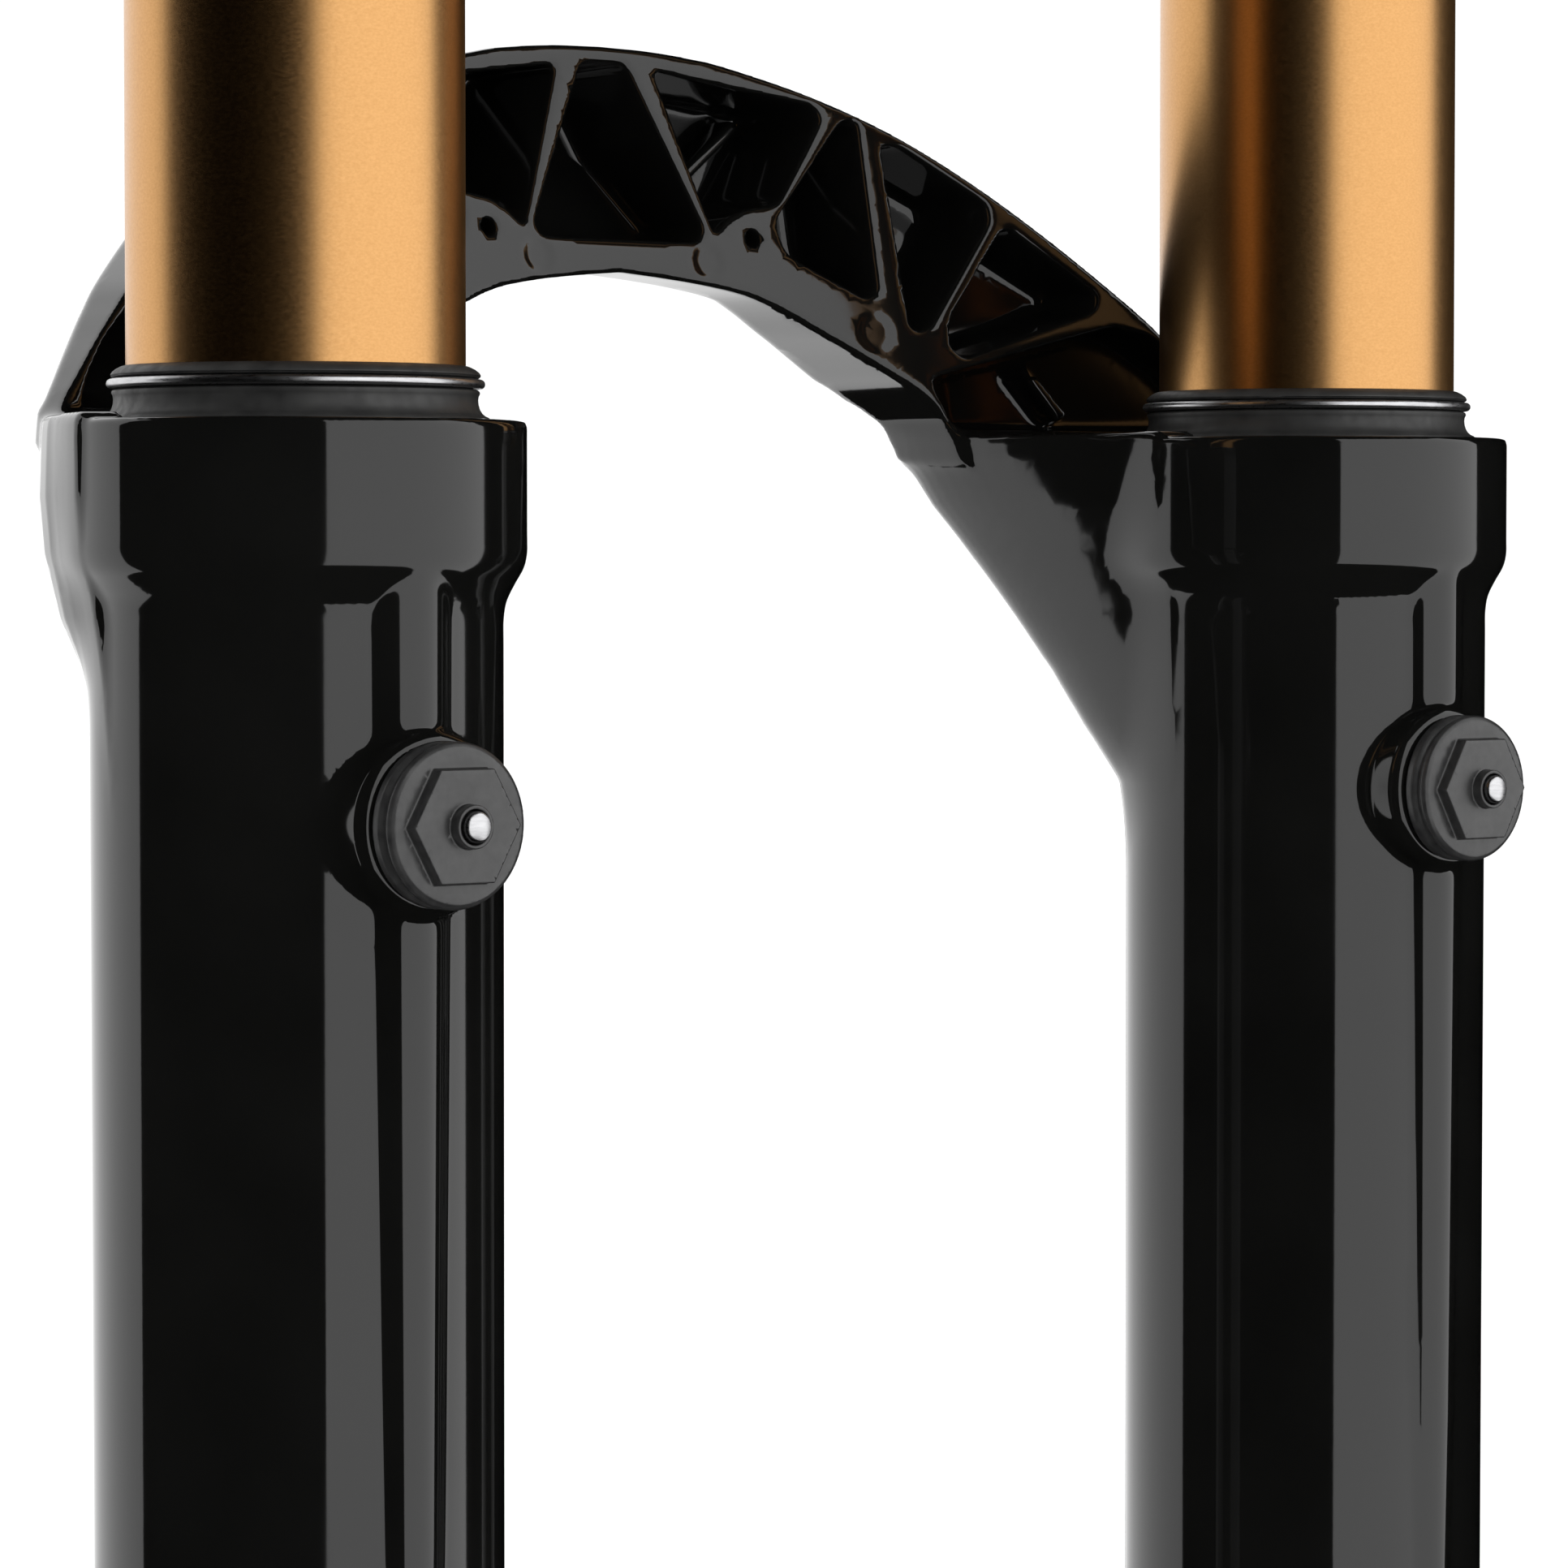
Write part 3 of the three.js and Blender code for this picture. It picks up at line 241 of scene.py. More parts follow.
def skin(name, blocks, simplify=0.02):
    """One mesh object round the solid that the blocks sample, with true surface normals."""
    step = blocks[0].step
    grid = vdb.FloatGrid(3.0)
    for block in blocks:
        block.fill(grid)
    points, triangles, quads = grid.convertToPolygons(0.0, simplify)
    points = points.astype(float)
    normals = np.zeros_like(points)
    for block in blocks:
        rise, held = block.slope(points)
        normals[held] = rise[held]
    normals /= np.maximum(np.linalg.norm(normals, axis=1), 1e-9)[:, None]
    faces = [tuple(f) for f in triangles.tolist()] + [tuple(f) for f in quads.tolist()]
    sample = np.array([f[:3] for f in faces[:: max(1, len(faces) // 2000)]])
    a, b, c = (points[sample[:, i]] for i in range(3))
    if (np.cross(b - a, c - a) * normals[sample[:, 0]]).sum() < 0:
        faces = [f[::-1] for f in faces]
    mesh = bpy.data.meshes.new(name)
    mesh.from_pydata((points * step * MM).tolist(), [], faces)
    mesh.validate()
    mesh.polygons.foreach_set("use_smooth", np.ones(len(mesh.polygons), bool))
    mesh.update()
    mesh.normals_split_custom_set_from_vertices(normals.tolist())
    return place(name, mesh)


def place(name, mesh):
    obj = bpy.data.objects.new(name, mesh)
    bpy.context.scene.collection.objects.link(obj)
    return obj


def carved(node, low, high, step, draw):
    """Piece that replaces one CAD node, drawn as distances."""
    return finish_piece(skin(f"{node}_fine", [Block(low, high, step, draw)]), node)


SLOTS = {
    "gloss_black_paint": ["crown", "lowers_casting"],
    "gold_anodised": ["left_stanchion", "right_stanchion"],
    "black_rubber": ["left_wiper_seal", "right_wiper_seal", "bottom_out_bumper"],
    "bright_steel": [
        "left_garter_spring", "right_garter_spring", "left_bleed_button", "right_bleed_button",
        "floating_piston_spring", "axle_lever_pin",
    ],
    "bare_alloy": [
        "left_crush_washer", "right_crush_washer", "air_shaft", "damper_cartridge_tube",
        "compression_valve", "damper_shaft", "rebound_rod",
    ],
    "foam": ["left_foam_ring", "right_foam_ring"],
    "bronze": [
        "left_upper_bushing", "right_upper_bushing", "left_lower_bushing", "right_lower_bushing",
        "air_valve_pin", "damper_piston",
    ],
    "blue_anodised": ["air_valve_cap", "high_speed_compression_knob"],
    "red_anodised": ["rebound_knob"],
    "orange_plastic": ["upper_volume_spacer", "lower_volume_spacer"],
    "grey_polymer": ["air_piston", "air_seal_head", "floating_piston", "damper_seal_head"],
}
SLOT_OF = {node: slot for slot, nodes in SLOTS.items() for node in nodes}
DEFAULT_SLOT = "satin_black_anodised"
MATERIALS = {}


def finish_piece(obj, *nodes):
    """Gives a new piece the material of its CAD node's slot and that node's body, and hides the CAD nodes
    it stands for.
    """
    slot = SLOT_OF.get(nodes[0], DEFAULT_SLOT)
    obj.data.materials.clear()
    obj.data.materials.append(MATERIALS[slot])
    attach(obj, frame["nodes"][nodes[0]]["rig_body"])
    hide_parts(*nodes)
    return obj


# ---- Materials ----
class Shader:
    """Principled material with helpers for the noise that varies it."""

    def __init__(self, name, colour, roughness, metallic=0.0, **values):
        self.material = bpy.data.materials.new(name)
        self.material.use_nodes = True
        self.nodes, self.links = self.material.node_tree.nodes, self.material.node_tree.links
        self.shader = self.nodes["Principled BSDF"]
        self.shader.inputs["Base Color"].default_value = (*colour, 1)
        self.shader.inputs["Roughness"].default_value = roughness
        self.shader.inputs["Metallic"].default_value = metallic
        for socket, value in values.items():
            self.shader.inputs[socket.replace("_", " ")].default_value = value
        self.object_space = self.nodes.new("ShaderNodeTexCoord").outputs["Object"]
        MATERIALS[name] = self.material

    def noise(self, scale, detail=4.0, stretch=None):
        source = self.object_space
        if stretch:
            mapping = self.nodes.new("ShaderNodeMapping")
            mapping.inputs["Scale"].default_value = stretch
            self.links.new(source, mapping.inputs["Vector"])
            source = mapping.outputs["Vector"]
        texture = self.nodes.new("ShaderNodeTexNoise")
        texture.inputs["Scale"].default_value = scale
        texture.inputs["Detail"].default_value = detail
        self.links.new(source, texture.inputs["Vector"])
        return texture.outputs["Fac"]

    def colour_between(self, fac, dark, light, low=0.3, high=0.7):
        ramp = self.nodes.new("ShaderNodeValToRGB")
        ramp.color_ramp.elements[0].position = low
        ramp.color_ramp.elements[1].position = high
        ramp.color_ramp.elements[0].color = (*dark, 1)
        ramp.color_ramp.elements[1].color = (*light, 1)
        self.links.new(fac, ramp.inputs["Fac"])
        self.links.new(ramp.outputs["Color"], self.shader.inputs["Base Color"])

    def roughness_between(self, fac, low, high):
        span = self.nodes.new("ShaderNodeMapRange")
        span.inputs["From Min"].default_value = 0.3
        span.inputs["From Max"].default_value = 0.7
        span.inputs["To Min"].default_value = low
        span.inputs["To Max"].default_value = high
        self.links.new(fac, span.inputs["Value"])
        self.links.new(span.outputs["Result"], self.shader.inputs["Roughness"])

    def bump(self, height, distance, strength=0.5):
        bump = self.nodes.new("ShaderNodeBump")
        bump.inputs["Strength"].default_value = strength
        bump.inputs["Distance"].default_value = distance
        self.links.new(height, bump.inputs["Height"])
        self.links.new(bump.outputs["Normal"], self.shader.inputs["Normal"])


def paint():
    """Deep gloss paint over a casting: faint orange peel and polishing haze."""
    look = Shader("gloss_black_paint", (0.0038, 0.0038, 0.0036), 0.06, IOR=1.5)
    look.colour_between(look.noise(55), (0.0032, 0.0032, 0.0030), (0.0046, 0.0046, 0.0043))
    look.roughness_between(look.noise(24, 6), 0.035, 0.085)
    look.bump(look.noise(420, 2), 0.00002, 0.10)


def satin_black():
    look = Shader("satin_black_anodised", (0.02, 0.02, 0.02), 0.34, IOR=1.6)
    look.colour_between(look.noise(900, 3), (0.014, 0.014, 0.0145), (0.026, 0.026, 0.026))
    look.roughness_between(look.noise(160, 5), 0.28, 0.40)
    look.bump(look.noise(2600, 2), 0.00002, 0.22)


def gold():
    """Tan-gold hard anodising with the fine grain left by centreless grinding."""
    look = Shader("gold_anodised", (0.56, 0.305, 0.118), 0.3, 1.0)
    grain = look.noise(2600, 3, (1, 1, 1.6))
    look.colour_between(grain, (0.535, 0.285, 0.106), (0.60, 0.33, 0.130), 0.3, 0.7)
    look.roughness_between(look.noise(1800, 2, (1, 1, 2.0)), 0.28, 0.34)
    look.bump(look.noise(4200, 2, (1, 1, 1.6)), 0.000006, 0.12)


def rubber():
    look = Shader("black_rubber", (0.018, 0.018, 0.018), 0.5, IOR=1.5)
    look.colour_between(look.noise(300, 4), (0.013, 0.013, 0.013), (0.026, 0.026, 0.025))
    look.roughness_between(look.noise(700, 4), 0.42, 0.6)
    look.bump(look.noise(3000, 3), 0.00003, 0.25)


def plain_metal(name, dark, light, low, high, grain=(1, 1, 6.0)):
    look = Shader(name, light, low, 1.0)
    look.colour_between(look.noise(500, 3, grain), dark, light)
    look.roughness_between(look.noise(900, 3, grain), low, high)
    look.bump(look.noise(2400, 2, grain), 0.00001, 0.15)


def moulded(name, dark, light, low, high, scale=1200):
    look = Shader(name, light, low)
    look.colour_between(look.noise(220, 4), dark, light)
    look.roughness_between(look.noise(500, 4), low, high)
    look.bump(look.noise(scale, 3), 0.00003, 0.3)


def make_materials():
    paint()
    satin_black()
    gold()
    rubber()
    plain_metal("bright_steel", (0.46, 0.46, 0.47), (0.58, 0.58, 0.59), 0.26, 0.36)
    plain_metal("bare_alloy", (0.42, 0.43, 0.44), (0.60, 0.61, 0.62), 0.24, 0.36)
    plain_metal("bronze", (0.36, 0.24, 0.12), (0.52, 0.36, 0.19), 0.34, 0.46)
    plain_metal("blue_anodised", (0.014, 0.075, 0.30), (0.03, 0.12, 0.42), 0.22, 0.32)
    plain_metal("red_anodised", (0.30, 0.012, 0.012), (0.46, 0.03, 0.025), 0.22, 0.32)
    moulded("foam", (0.03, 0.028, 0.024), (0.07, 0.065, 0.055), 0.85, 0.98, 700)
    moulded("orange_plastic", (0.58, 0.12, 0.012), (0.70, 0.17, 0.025), 0.36, 0.48)
    moulded("grey_polymer", (0.055, 0.055, 0.052), (0.085, 0.085, 0.08), 0.44, 0.58)


# ---- Lowers casting ----
COLLAR_FLARE = [  # radius and height where the leg widens into the collar
    (21.95, COLLAR_Z - 23), (21.95, COLLAR_Z - 21.2), (22.25, COLLAR_Z - 19.2),
    (23.15, COLLAR_Z - 17.3), (24.1, COLLAR_Z - 15.6), (24.47, COLLAR_Z - 14.0),
    (24.48, COLLAR_Z - 12.6),
]
LEG_PROFILE = [
    (0, LEG_END_Z), (12.5, LEG_END_Z), (15.5, LEG_END_Z + 2), (17.2, LEG_END_Z + 4.6),
    (18.6, LEG_END_Z + 8), (20.2, LEG_END_Z + 16), (21.2, LEG_END_Z + 34),
    (21.8, COLLAR_Z - 200), *smooth(COLLAR_FLARE, 6),
    (24.48, COLLAR_Z - 0.4), (24.1, COLLAR_Z), (0, COLLAR_Z),
]
BORE_PROFILE = [
    (0, LEG_FLOOR_Z), (12, LEG_FLOOR_Z), (18.4, LEG_FLOOR_Z + 8), (19.1, LEG_FLOOR_Z + 30),
    (19.7, COLLAR_Z - 180), (19.7, COLLAR_Z - 20), (21, COLLAR_Z - 20), (21, COLLAR_Z + 9),
    (0, COLLAR_Z + 9),
]
RIDGE = [  # height above the collar, radius, distance of its centre behind the leg axis
    (-172, 1.2, 20.2), (-165, 2.6, 19.9), (-118, 4.5, 18.75), (-42, 5.6, 18.15),
    (-13.9, 5.8, 18.0),
]
RIDGE_OUT = 0.6                    # how far outward the ridge sits from the middle of the back
BOSS = [(14, 9.75), (21.5, 9.75), (24.2, 9.65), (25, 8.9)]


def leg(x, y, z):
    """One leg with its collar, rear ridge and bleeder boss, about the right leg's axis."""
    out, ahead = x - LEG_X, y - LEG_Y
    radius = np.hypot(out, ahead)[:, :, 0]
    body = turned(LEG_PROFILE, radius, z[0, 0])
    rows = np.array(RIDGE)
    height = z - COLLAR_Z
    width = np.interp(height, rows[:, 0], rows[:, 1], left=-3, right=-3)
    centre = np.interp(height, rows[:, 0], rows[:, 2])
    ridge = np.hypot(out - RIDGE_OUT, ahead + centre) - width
    body = join(body, ridge.astype(np.float32), 0.5)
    boss = np.array(BOSS)
    behind = -ahead
    girth = np.interp(behind, boss[:, 0], boss[:, 1])
    across = np.hypot(out, z - BLEEDER_Z)
    solid = keep(across - girth, np.maximum(behind - 25, 15 - behind), 0.6)
    return join(body, solid.astype(np.float32), 1.0)


def bores(x, y, z):
    """Hollow of the leg, the bleeder's hole and the foot's hole."""
    out, ahead = x - LEG_X, y - LEG_Y
    radius = np.hypot(out, ahead)
    hollow = turned(BORE_PROFILE, radius[:, :, 0], z[0, 0])
    bleeder = np.maximum(np.hypot(out, z - BLEEDER_Z) - 4.6, 15 + ahead)
    foot = np.maximum(radius - 5.3, z - LEG_FLOOR_Z - 3)
    return join(join(hollow, bleeder), foot).astype(np.float32)


ARCH_TOP = [
    (0, 46.8), (7, 46.6), (13, 46.1), (19, 45.2), (30.8, 42.3), (42.4, 38.1), (53.5, 32.3),
    (64.4, 25.1), (75, 16.9), (79.2, 12.9), (82.6, 9.3), (86.2, 5.3), (89, 2), (90.4, -2),
]
ARCH_UNDER = [
    (0, 19.6), (7, 19), (13, 18.3), (19, 17.2), (24, 15.4), (29, 13), (34, 10.6), (39, 8),
    (42, 6.4), (44.5, 4.6), (46, 2.9), (47, 1.2), (47.6, -0.6), (48, -2),
]
POCKETS = [
    [(7.4, 44.3), (31, 41.1), (32, 39.4), (24.4, 28.6), (20.1, 28), (16.6, 26.6), (14.6, 24.6),
     (13.6, 27)],
    [(35.2, 39.3), (37.2, 39.5), (38.0, 18.2), (36.3, 17.4), (25, 22.6), (23.8, 26.4)],
    [(40.6, 36.6), (43.3, 36.5), (55, 29.8), (55.3, 27.4), (45, 13.7), (42.4, 13.7)],
    [(57.6, 27), (69.8, 18.6), (69, 16.4), (50, 10.2), (47.9, 11.8), (48.4, 15.4)],
    [(44.6, 7.6), (71.8, 14.6), (77, 13.4), (81.6, 9.4), (84.8, 5.2), (86.6, 0.8), (47.8, 0.8)],
]
CENTRE_POCKET = [
    (-3.2, 44.8), (3.2, 44.8), (12.8, 25.2), (11.8, 23.6), (-11.8, 23.6), (-12.8, 25.2),
]
FLOOR_RIBS = [
    [(16.2, 30.9), (17.4, 30.2), (27.6, 38.6), (26.8, 39.6)],
    [(64.2, 8), (65.4, 8.4), (68.8, 3.6), (67.6, 2.8)],
]
MUDGUARD_HOLE = (20.1, 24.3)
EJECTOR_MARKS = [(12.9, 21.3, 1.95), (37.0, 13.2, 2.3)]
MARK_DEPTH = 0.16
POCKET_FLOOR = 0.84
# Share of the arch's depth left at its lower edge, by x.
UNDER_DEPTH_X = [0, 20, 31, 40, 44, 46, 48, 51, 56]
UNDER_DEPTH = [0.5, 0.52, 0.78, 1.03, 1.05, 0.95, 0.78, 0.9, 1.0]
POCKET_DRAFT = 0.03
ARCH_DEPTH = 19.7
ARCH_DEPTH_REACH = 104
ARCH_REAR_Y = 40
ARCH_REAR_RISE = 24
ARCH_LEAN = 0.15
ARCH_SWEEP = 620


def arch(x, y, z):
    """Bowed band with a truss of pockets in its rear face, drawn for x from 0 outward."""
    flat_x, flat_z = x[:, :, 0], z[0] - COLLAR_Z
    half = [tuple(p) for p in smooth(ARCH_TOP)] + [tuple(p) for p in smooth(ARCH_UNDER)[::-1]]
    other = [(-a, b) for a, b in half[::-1]]
    band = outline_distance(half + other, flat_x, flat_z)[:, None, :]
    rear = LEG_Y + ARCH_REAR_Y + ARCH_LEAN * (z - COLLAR_Z - ARCH_REAR_RISE) - x * x / ARCH_SWEEP
    depth = ARCH_DEPTH * (1 - np.minimum(np.abs(x) / ARCH_DEPTH_REACH, 1) ** 2.2)
    behind = (rear - y).astype(np.float32)
    under = smooth(ARCH_UNDER)
    above = z - COLLAR_Z - np.interp(x, under[:, 0], under[:, 1])
    shallow = np.interp(x, UNDER_DEPTH_X, UNDER_DEPTH)
    front = depth * (shallow + np.clip(above / 15, 0, 1) * (1 - shallow))
    solid = keep(keep(band, -behind - front, 2.5), behind, 0.9)
    hollow = outline_distance(rounded(CENTRE_POCKET, 1.3), flat_x, flat_z)
    for outline in POCKETS:
        hollow = np.minimum(hollow, outline_distance(rounded(outline, 1.5), flat_x, flat_z))
    bolt = np.hypot(flat_x - MUDGUARD_HOLE[0], flat_z - MUDGUARD_HOLE[1])
    hollow = keep(hollow, 3.3 - bolt, 0.6)[:, None, :] - POCKET_DRAFT * behind
    floor = -behind - POCKET_FLOOR * front
    for outline in FLOOR_RIBS:
        rib = outline_distance(outline, flat_x, flat_z)[:, None, :]
        rib = keep(rib - 0.15, 0.55 * depth + behind, 0.8)
        hollow = cut(np.broadcast_to(hollow, rib.shape), rib, 0.8)
    solid = cut(solid, keep(hollow, floor, 1.6), 0.8)
    for mark_x, mark_z, radius in EJECTOR_MARKS:
        mark = np.hypot(flat_x - mark_x, flat_z - mark_z) - radius
        dent = MARK_DEPTH * np.clip(0.5 - mark / 0.7, 0, 1)
        solid = np.maximum(solid, behind + dent[:, None, :])
    hole = np.maximum(bolt[:, None, :] - 1.1, -behind - 0.5 * depth)
    return cut(solid, hole).astype(np.float32)


ROOT_SECTIONS = [  # height above the collar, [out, ahead] from the leg axis, inner to outer flank
    (0.6, [(-24.2, 1), (-27.5, 20), (-28.6, 34), (-27.8, 43.6), (-24.2, 48), (-15, 47),
           (-4, 42.5), (8.4, 33.7), (18.6, 20.3), (24, 5)]),
    (-2, [(-24.2, 1), (-27.1, 20), (-28.1, 34), (-27.2, 43.5), (-23.5, 47.5), (-14.5, 46.2),
          (-3, 41.6), (9, 33), (18.8, 20.4), (24.3, 5)]),
    (-8, [(-23.8, 1), (-25.7, 18), (-26.4, 31), (-25.3, 40.2), (-21.5, 42.6), (-13.5, 42.2),
          (-3, 39.4), (9.4, 32.3), (19.2, 20.2), (24.1, 5)]),
    (-14, [(-22.4, 1), (-24, 15), (-24.6, 27.2), (-23.8, 34.6), (-20.5, 37.8), (-13, 38.2),
           (-3, 36.4), (9.2, 30.8), (19, 19.6), (23, 5)]),
    (-21, [(-21.4, 1), (-22.6, 13), (-22.8, 23), (-21.8, 29.3), (-18.6, 32.2), (-11.5, 33),
           (-3, 31.8), (8.2, 27.6), (18.2, 17.8), (22, 5)]),
    (-28.5, [(-21.2, 1), (-21.7, 10.5), (-21.5, 18.4), (-20.1, 23.8), (-16.4, 26.8),
             (-9.5, 27.8), (-2, 26.4), (6.8, 22.8), (15.8, 15.6), (21, 4)]),
    (-35, [(-21.1, 1), (-21.2, 8), (-20.8, 14.3), (-19.3, 19), (-15.5, 22.4), (-9, 23.6),
           (-2, 22.9), (6.2, 20.6), (14.4, 14.2), (20.8, 3)]),
    (-42, [(-20.9, 1), (-20.7, 5), (-19.7, 9.7), (-17.9, 13.9), (-13.9, 17.6), (-8, 19.9),
           (-1, 20.2), (6.1, 18.9), (13.6, 13.3), (20.5, 2)]),
]
ROOT_FADE = 0.22


def arch_root(x, y, z):
    """Where the arch runs down the front of a collar and fades into the leg."""
    out, ahead = (x - LEG_X)[:, :, 0], (y - LEG_Y)[:, :, 0]
    levels = np.array([row[0] for row in ROOT_SECTIONS])[::-1]
    flanks = np.array([row[1] for row in ROOT_SECTIONS])[::-1]
    between = smooth([(level, i) for i, level in enumerate(levels)], 4)
    stack = np.empty((*np.broadcast_shapes(out.shape, ahead.shape), z.size), np.float32)
    known = {}
    for k, height in enumerate(z[0, 0] - COLLAR_Z):
        level = float(np.clip(height, levels[0], levels[-1]))
        if level not in known:
            part = np.interp(level, between[:, 0], between[:, 1])
            low = min(int(part), len(levels) - 2)
            share = part - low
            flank = smooth(flanks[low] * (1 - share) + flanks[low + 1] * share, 4)
            closed = np.vstack([flank, [(12, -8), (-12, -8)]])
            known = {level: outline_distance(closed, out, ahead)}
        beyond = max(levels[0] - height, 0) * ROOT_FADE
        stack[:, :, k] = known[level] + beyond
    return keep(stack, z - COLLAR_Z - 0.6, 0.7).astype(np.float32)


def foot(x, y, z):
    """Dropout plate, axle boss and the web above it, on the outward side of one leg."""
    plate_outline = [
        (LEG_Y - 9, LEG_END_Z + 44), (LEG_Y - 15, LEG_END_Z + 22), (LEG_Y - 10, LEG_END_Z + 2),
        *arc(AXLE_Y, AXLE_Z, 13.95, 165, 375, 24),
        (AXLE_Y + 11, AXLE_Z + 26), (LEG_Y + 19, AXLE_Z + 48), (LEG_Y + 12, AXLE_Z + 66),
    ]
    flat_y, flat_z = y[0], z[0]
    plate = outline_distance(plate_outline, flat_y, flat_z)[None]
    plate = keep(plate, np.maximum(HUB_HALF - x, x - 67), 1.4)
    about = np.hypot(y - AXLE_Y, z - AXLE_Z)
    boss = keep(about - 11.5, np.maximum(60 - x, x - BOSS_END_X), 1.4)
    web_outline = [
        (AXLE_Y - 6, AXLE_Z + 8), (AXLE_Y + 9, AXLE_Z + 7), (AXLE_Y + 5, AXLE_Z + 30),
        (AXLE_Y + 1, AXLE_Z + 50), (AXLE_Y - 8, AXLE_Z + 50), (AXLE_Y - 6.5, AXLE_Z + 20),
    ]
    web = outline_distance(web_outline, flat_y, flat_z)[None]
    web = keep(web, np.maximum(64 - x, x - 84), 2.5)
    return join(join(plate, boss, 3.0), web, 3.0)


def post_point(out, along):
    """[y, z] at a distance from the axle along the brake posts, and up their line."""
    return (
        AXLE_Y - out * math.cos(POST_TILT) + along * math.sin(POST_TILT),
        AXLE_Z + out * math.sin(POST_TILT) + along * math.cos(POST_TILT),
    )


def brake_post(x, y, z, along, depth, arm_top, arm_low):
    """Round post and its arm, then the bolt hole; x is measured outward on the left."""
    post_y, post_z = post_point(POST_REACH, along)
    toward = (y - post_y) * math.cos(POST_TILT) - (z - post_z) * math.sin(POST_TILT)
    up = (y - post_y) * math.sin(POST_TILT) + (z - post_z) * math.cos(POST_TILT)
    about = np.hypot(x + POST_X, up)
    post = keep(about - 8, np.maximum(-toward, toward - depth), 1.0)
    arm_outline = rounded([
        post_point(POST_REACH - 2, along + 7), post_point(POST_REACH - 2, along - 7),
        post_point(POST_REACH - depth + 1, along - 7), (LEG_Y - 4, arm_low), (LEG_Y - 4, arm_top),
    ], 3)
    arm = outline_distance(arm_outline, y[0], z[0])[None]
    arm = keep(arm, np.abs(x + POST_X - 3.75) - 4.75, 2.0)
    return join(post, arm, 2.0), np.maximum(about - 2.6, toward - 16)


def lowers_top(x, y, z):
    solid = join(leg(x, y, z), arch_root(x, y, z), 1.6)
    solid = join(solid, arch(x, y, z), 2.6)
    return cut(solid, bores(x, y, z))


def lowers_middle(x, y, z):
    return cut(leg(x, y, z), bores(x, y, z))


def lowers_foot(side):
    def draw(x, y, z):
        solid = join(leg(x, y, z), foot(x, y, z), 3.0)
        holes = bores(x, y, z)
        about = np.hypot(y - AXLE_Y, z - AXLE_Z)
        axle_hole = about - 7.8 + 0 * x
        if side > 0:
            axle_hole = np.minimum(np.maximum(about - 7.8, x - 70), np.maximum(about - 9.8, 66 - x))
        else:
            upper, upper_hole = brake_post(x, y, z, POST_SPACING / 2, 20, -462, -505)
            lower, lower_hole = brake_post(x, y, z, -POST_SPACING / 2, 22, -498, -528)
            solid = join(join(solid, upper, 2.5), lower, 2.5)
            holes = join(join(holes, upper_hole), lower_hole)
        return cut(cut(solid, holes), axle_hole, 0.6)
    return draw


def lowers(step):
    """Legs and arch are sampled for the right side and flipped for the left. The two feet
    differ, so each is sampled for itself."""
    margin = 2 * step
    high_cut, low_cut = COLLAR_Z - 62, -470.0
    boxes = [
        ([0, -12, high_cut - margin], [103, 92, COLLAR_Z + 49], lowers_top),
        ([51, -2, low_cut - margin], [100, 51, high_cut + margin], lowers_middle),
    ]
    blocks = []
    for low, high, draw in boxes:
        right = Block(low, high, step, draw)
        blocks += [right, right.flipped()]
    foot_low, foot_high = [42, -52, -574], [102, 66, low_cut + margin]
    blocks.append(Block(foot_low, foot_high, step, lowers_foot(1)))
    blocks.append(Block(foot_low, foot_high, step, lowers_foot(-1), flip=True))
    return finish_piece(skin("lowers_casting_fine", blocks, simplify=0.001), "lowers_casting")


# ---- Round pieces ----
def axis_of(node):
    """The axis a node is turned about: its leg's, or the steerer's."""
    low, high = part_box(node)
    middle_x = 1000 * (low.x + high.x) / 2
    if abs(middle_x) < 5:
        return 0.0, 0.0
    return math.copysign(LEG_X, middle_x), LEG_Y


def lathe(name, profile, centre, around=96, axis="z"):
    """Smooth surface of revolution round a closed [radius, along] loop."""
    turns = 2 * math.pi * np.arange(around) / around
    rings, faces = [], []
    count = len(profile)
    for turn in turns:
        for radius, along in profile:
            a, b = radius * math.cos(turn), radius * math.sin(turn)
            spot = {"x": (along, a, b), "y": (b, along, a), "z": (a, b, along)}[axis]
            rings.append([(s + c) * MM for s, c in zip(spot, centre)])
    for i in range(around):
        for j in range(count):
            a, b = i * count + j, i * count + (j + 1) % count
            c, d = ((i + 1) % around) * count + (j + 1) % count, ((i + 1) % around) * count + j
            faces.append((a, b, c, d))
    mesh = bpy.data.meshes.new(name)
    mesh.from_pydata(rings, [], faces)
    obj = place(name, mesh)
    tidy_lathe(mesh)
    bevel = obj.modifiers.new("edge", "BEVEL")
    bevel.width = 0.00012
    bevel.segments = 2
    bevel.limit_method = "ANGLE"
    bevel.angle_limit = SHARP_ANGLE
    bevel.harden_normals = True
    return obj


def tidy_lathe(mesh):
    """Welds the points that fall on the axis, turns faces outward and smooths the round."""
    work = bmesh.new()
    work.from_mesh(mesh)
    bmesh.ops.remove_doubles(work, verts=work.verts, dist=0.000002)
    bmesh.ops.dissolve_degenerate(work, edges=work.edges, dist=0.000001)
    bmesh.ops.recalc_face_normals(work, faces=work.faces)
    for face in work.faces:
        face.smooth = True
    work.to_mesh(mesh)
    work.free()
    mesh.set_sharp_from_angle(angle=SHARP_ANGLE)


def returned(node, profile, around=96, axis="z", centre=None):
    """Finely turned piece in place of a CAD node."""
    if centre is None:
        centre = (*axis_of(node), 0)
    return finish_piece(lathe(f"{node}_fine", profile, centre, around, axis), node)


def sleeve(inner, outer, low, high, edge=0.25):
    return [
        (inner, low), (outer - edge, low), (outer, low + edge), (outer, high - edge),
        (outer - edge, high), (inner, high),
    ]


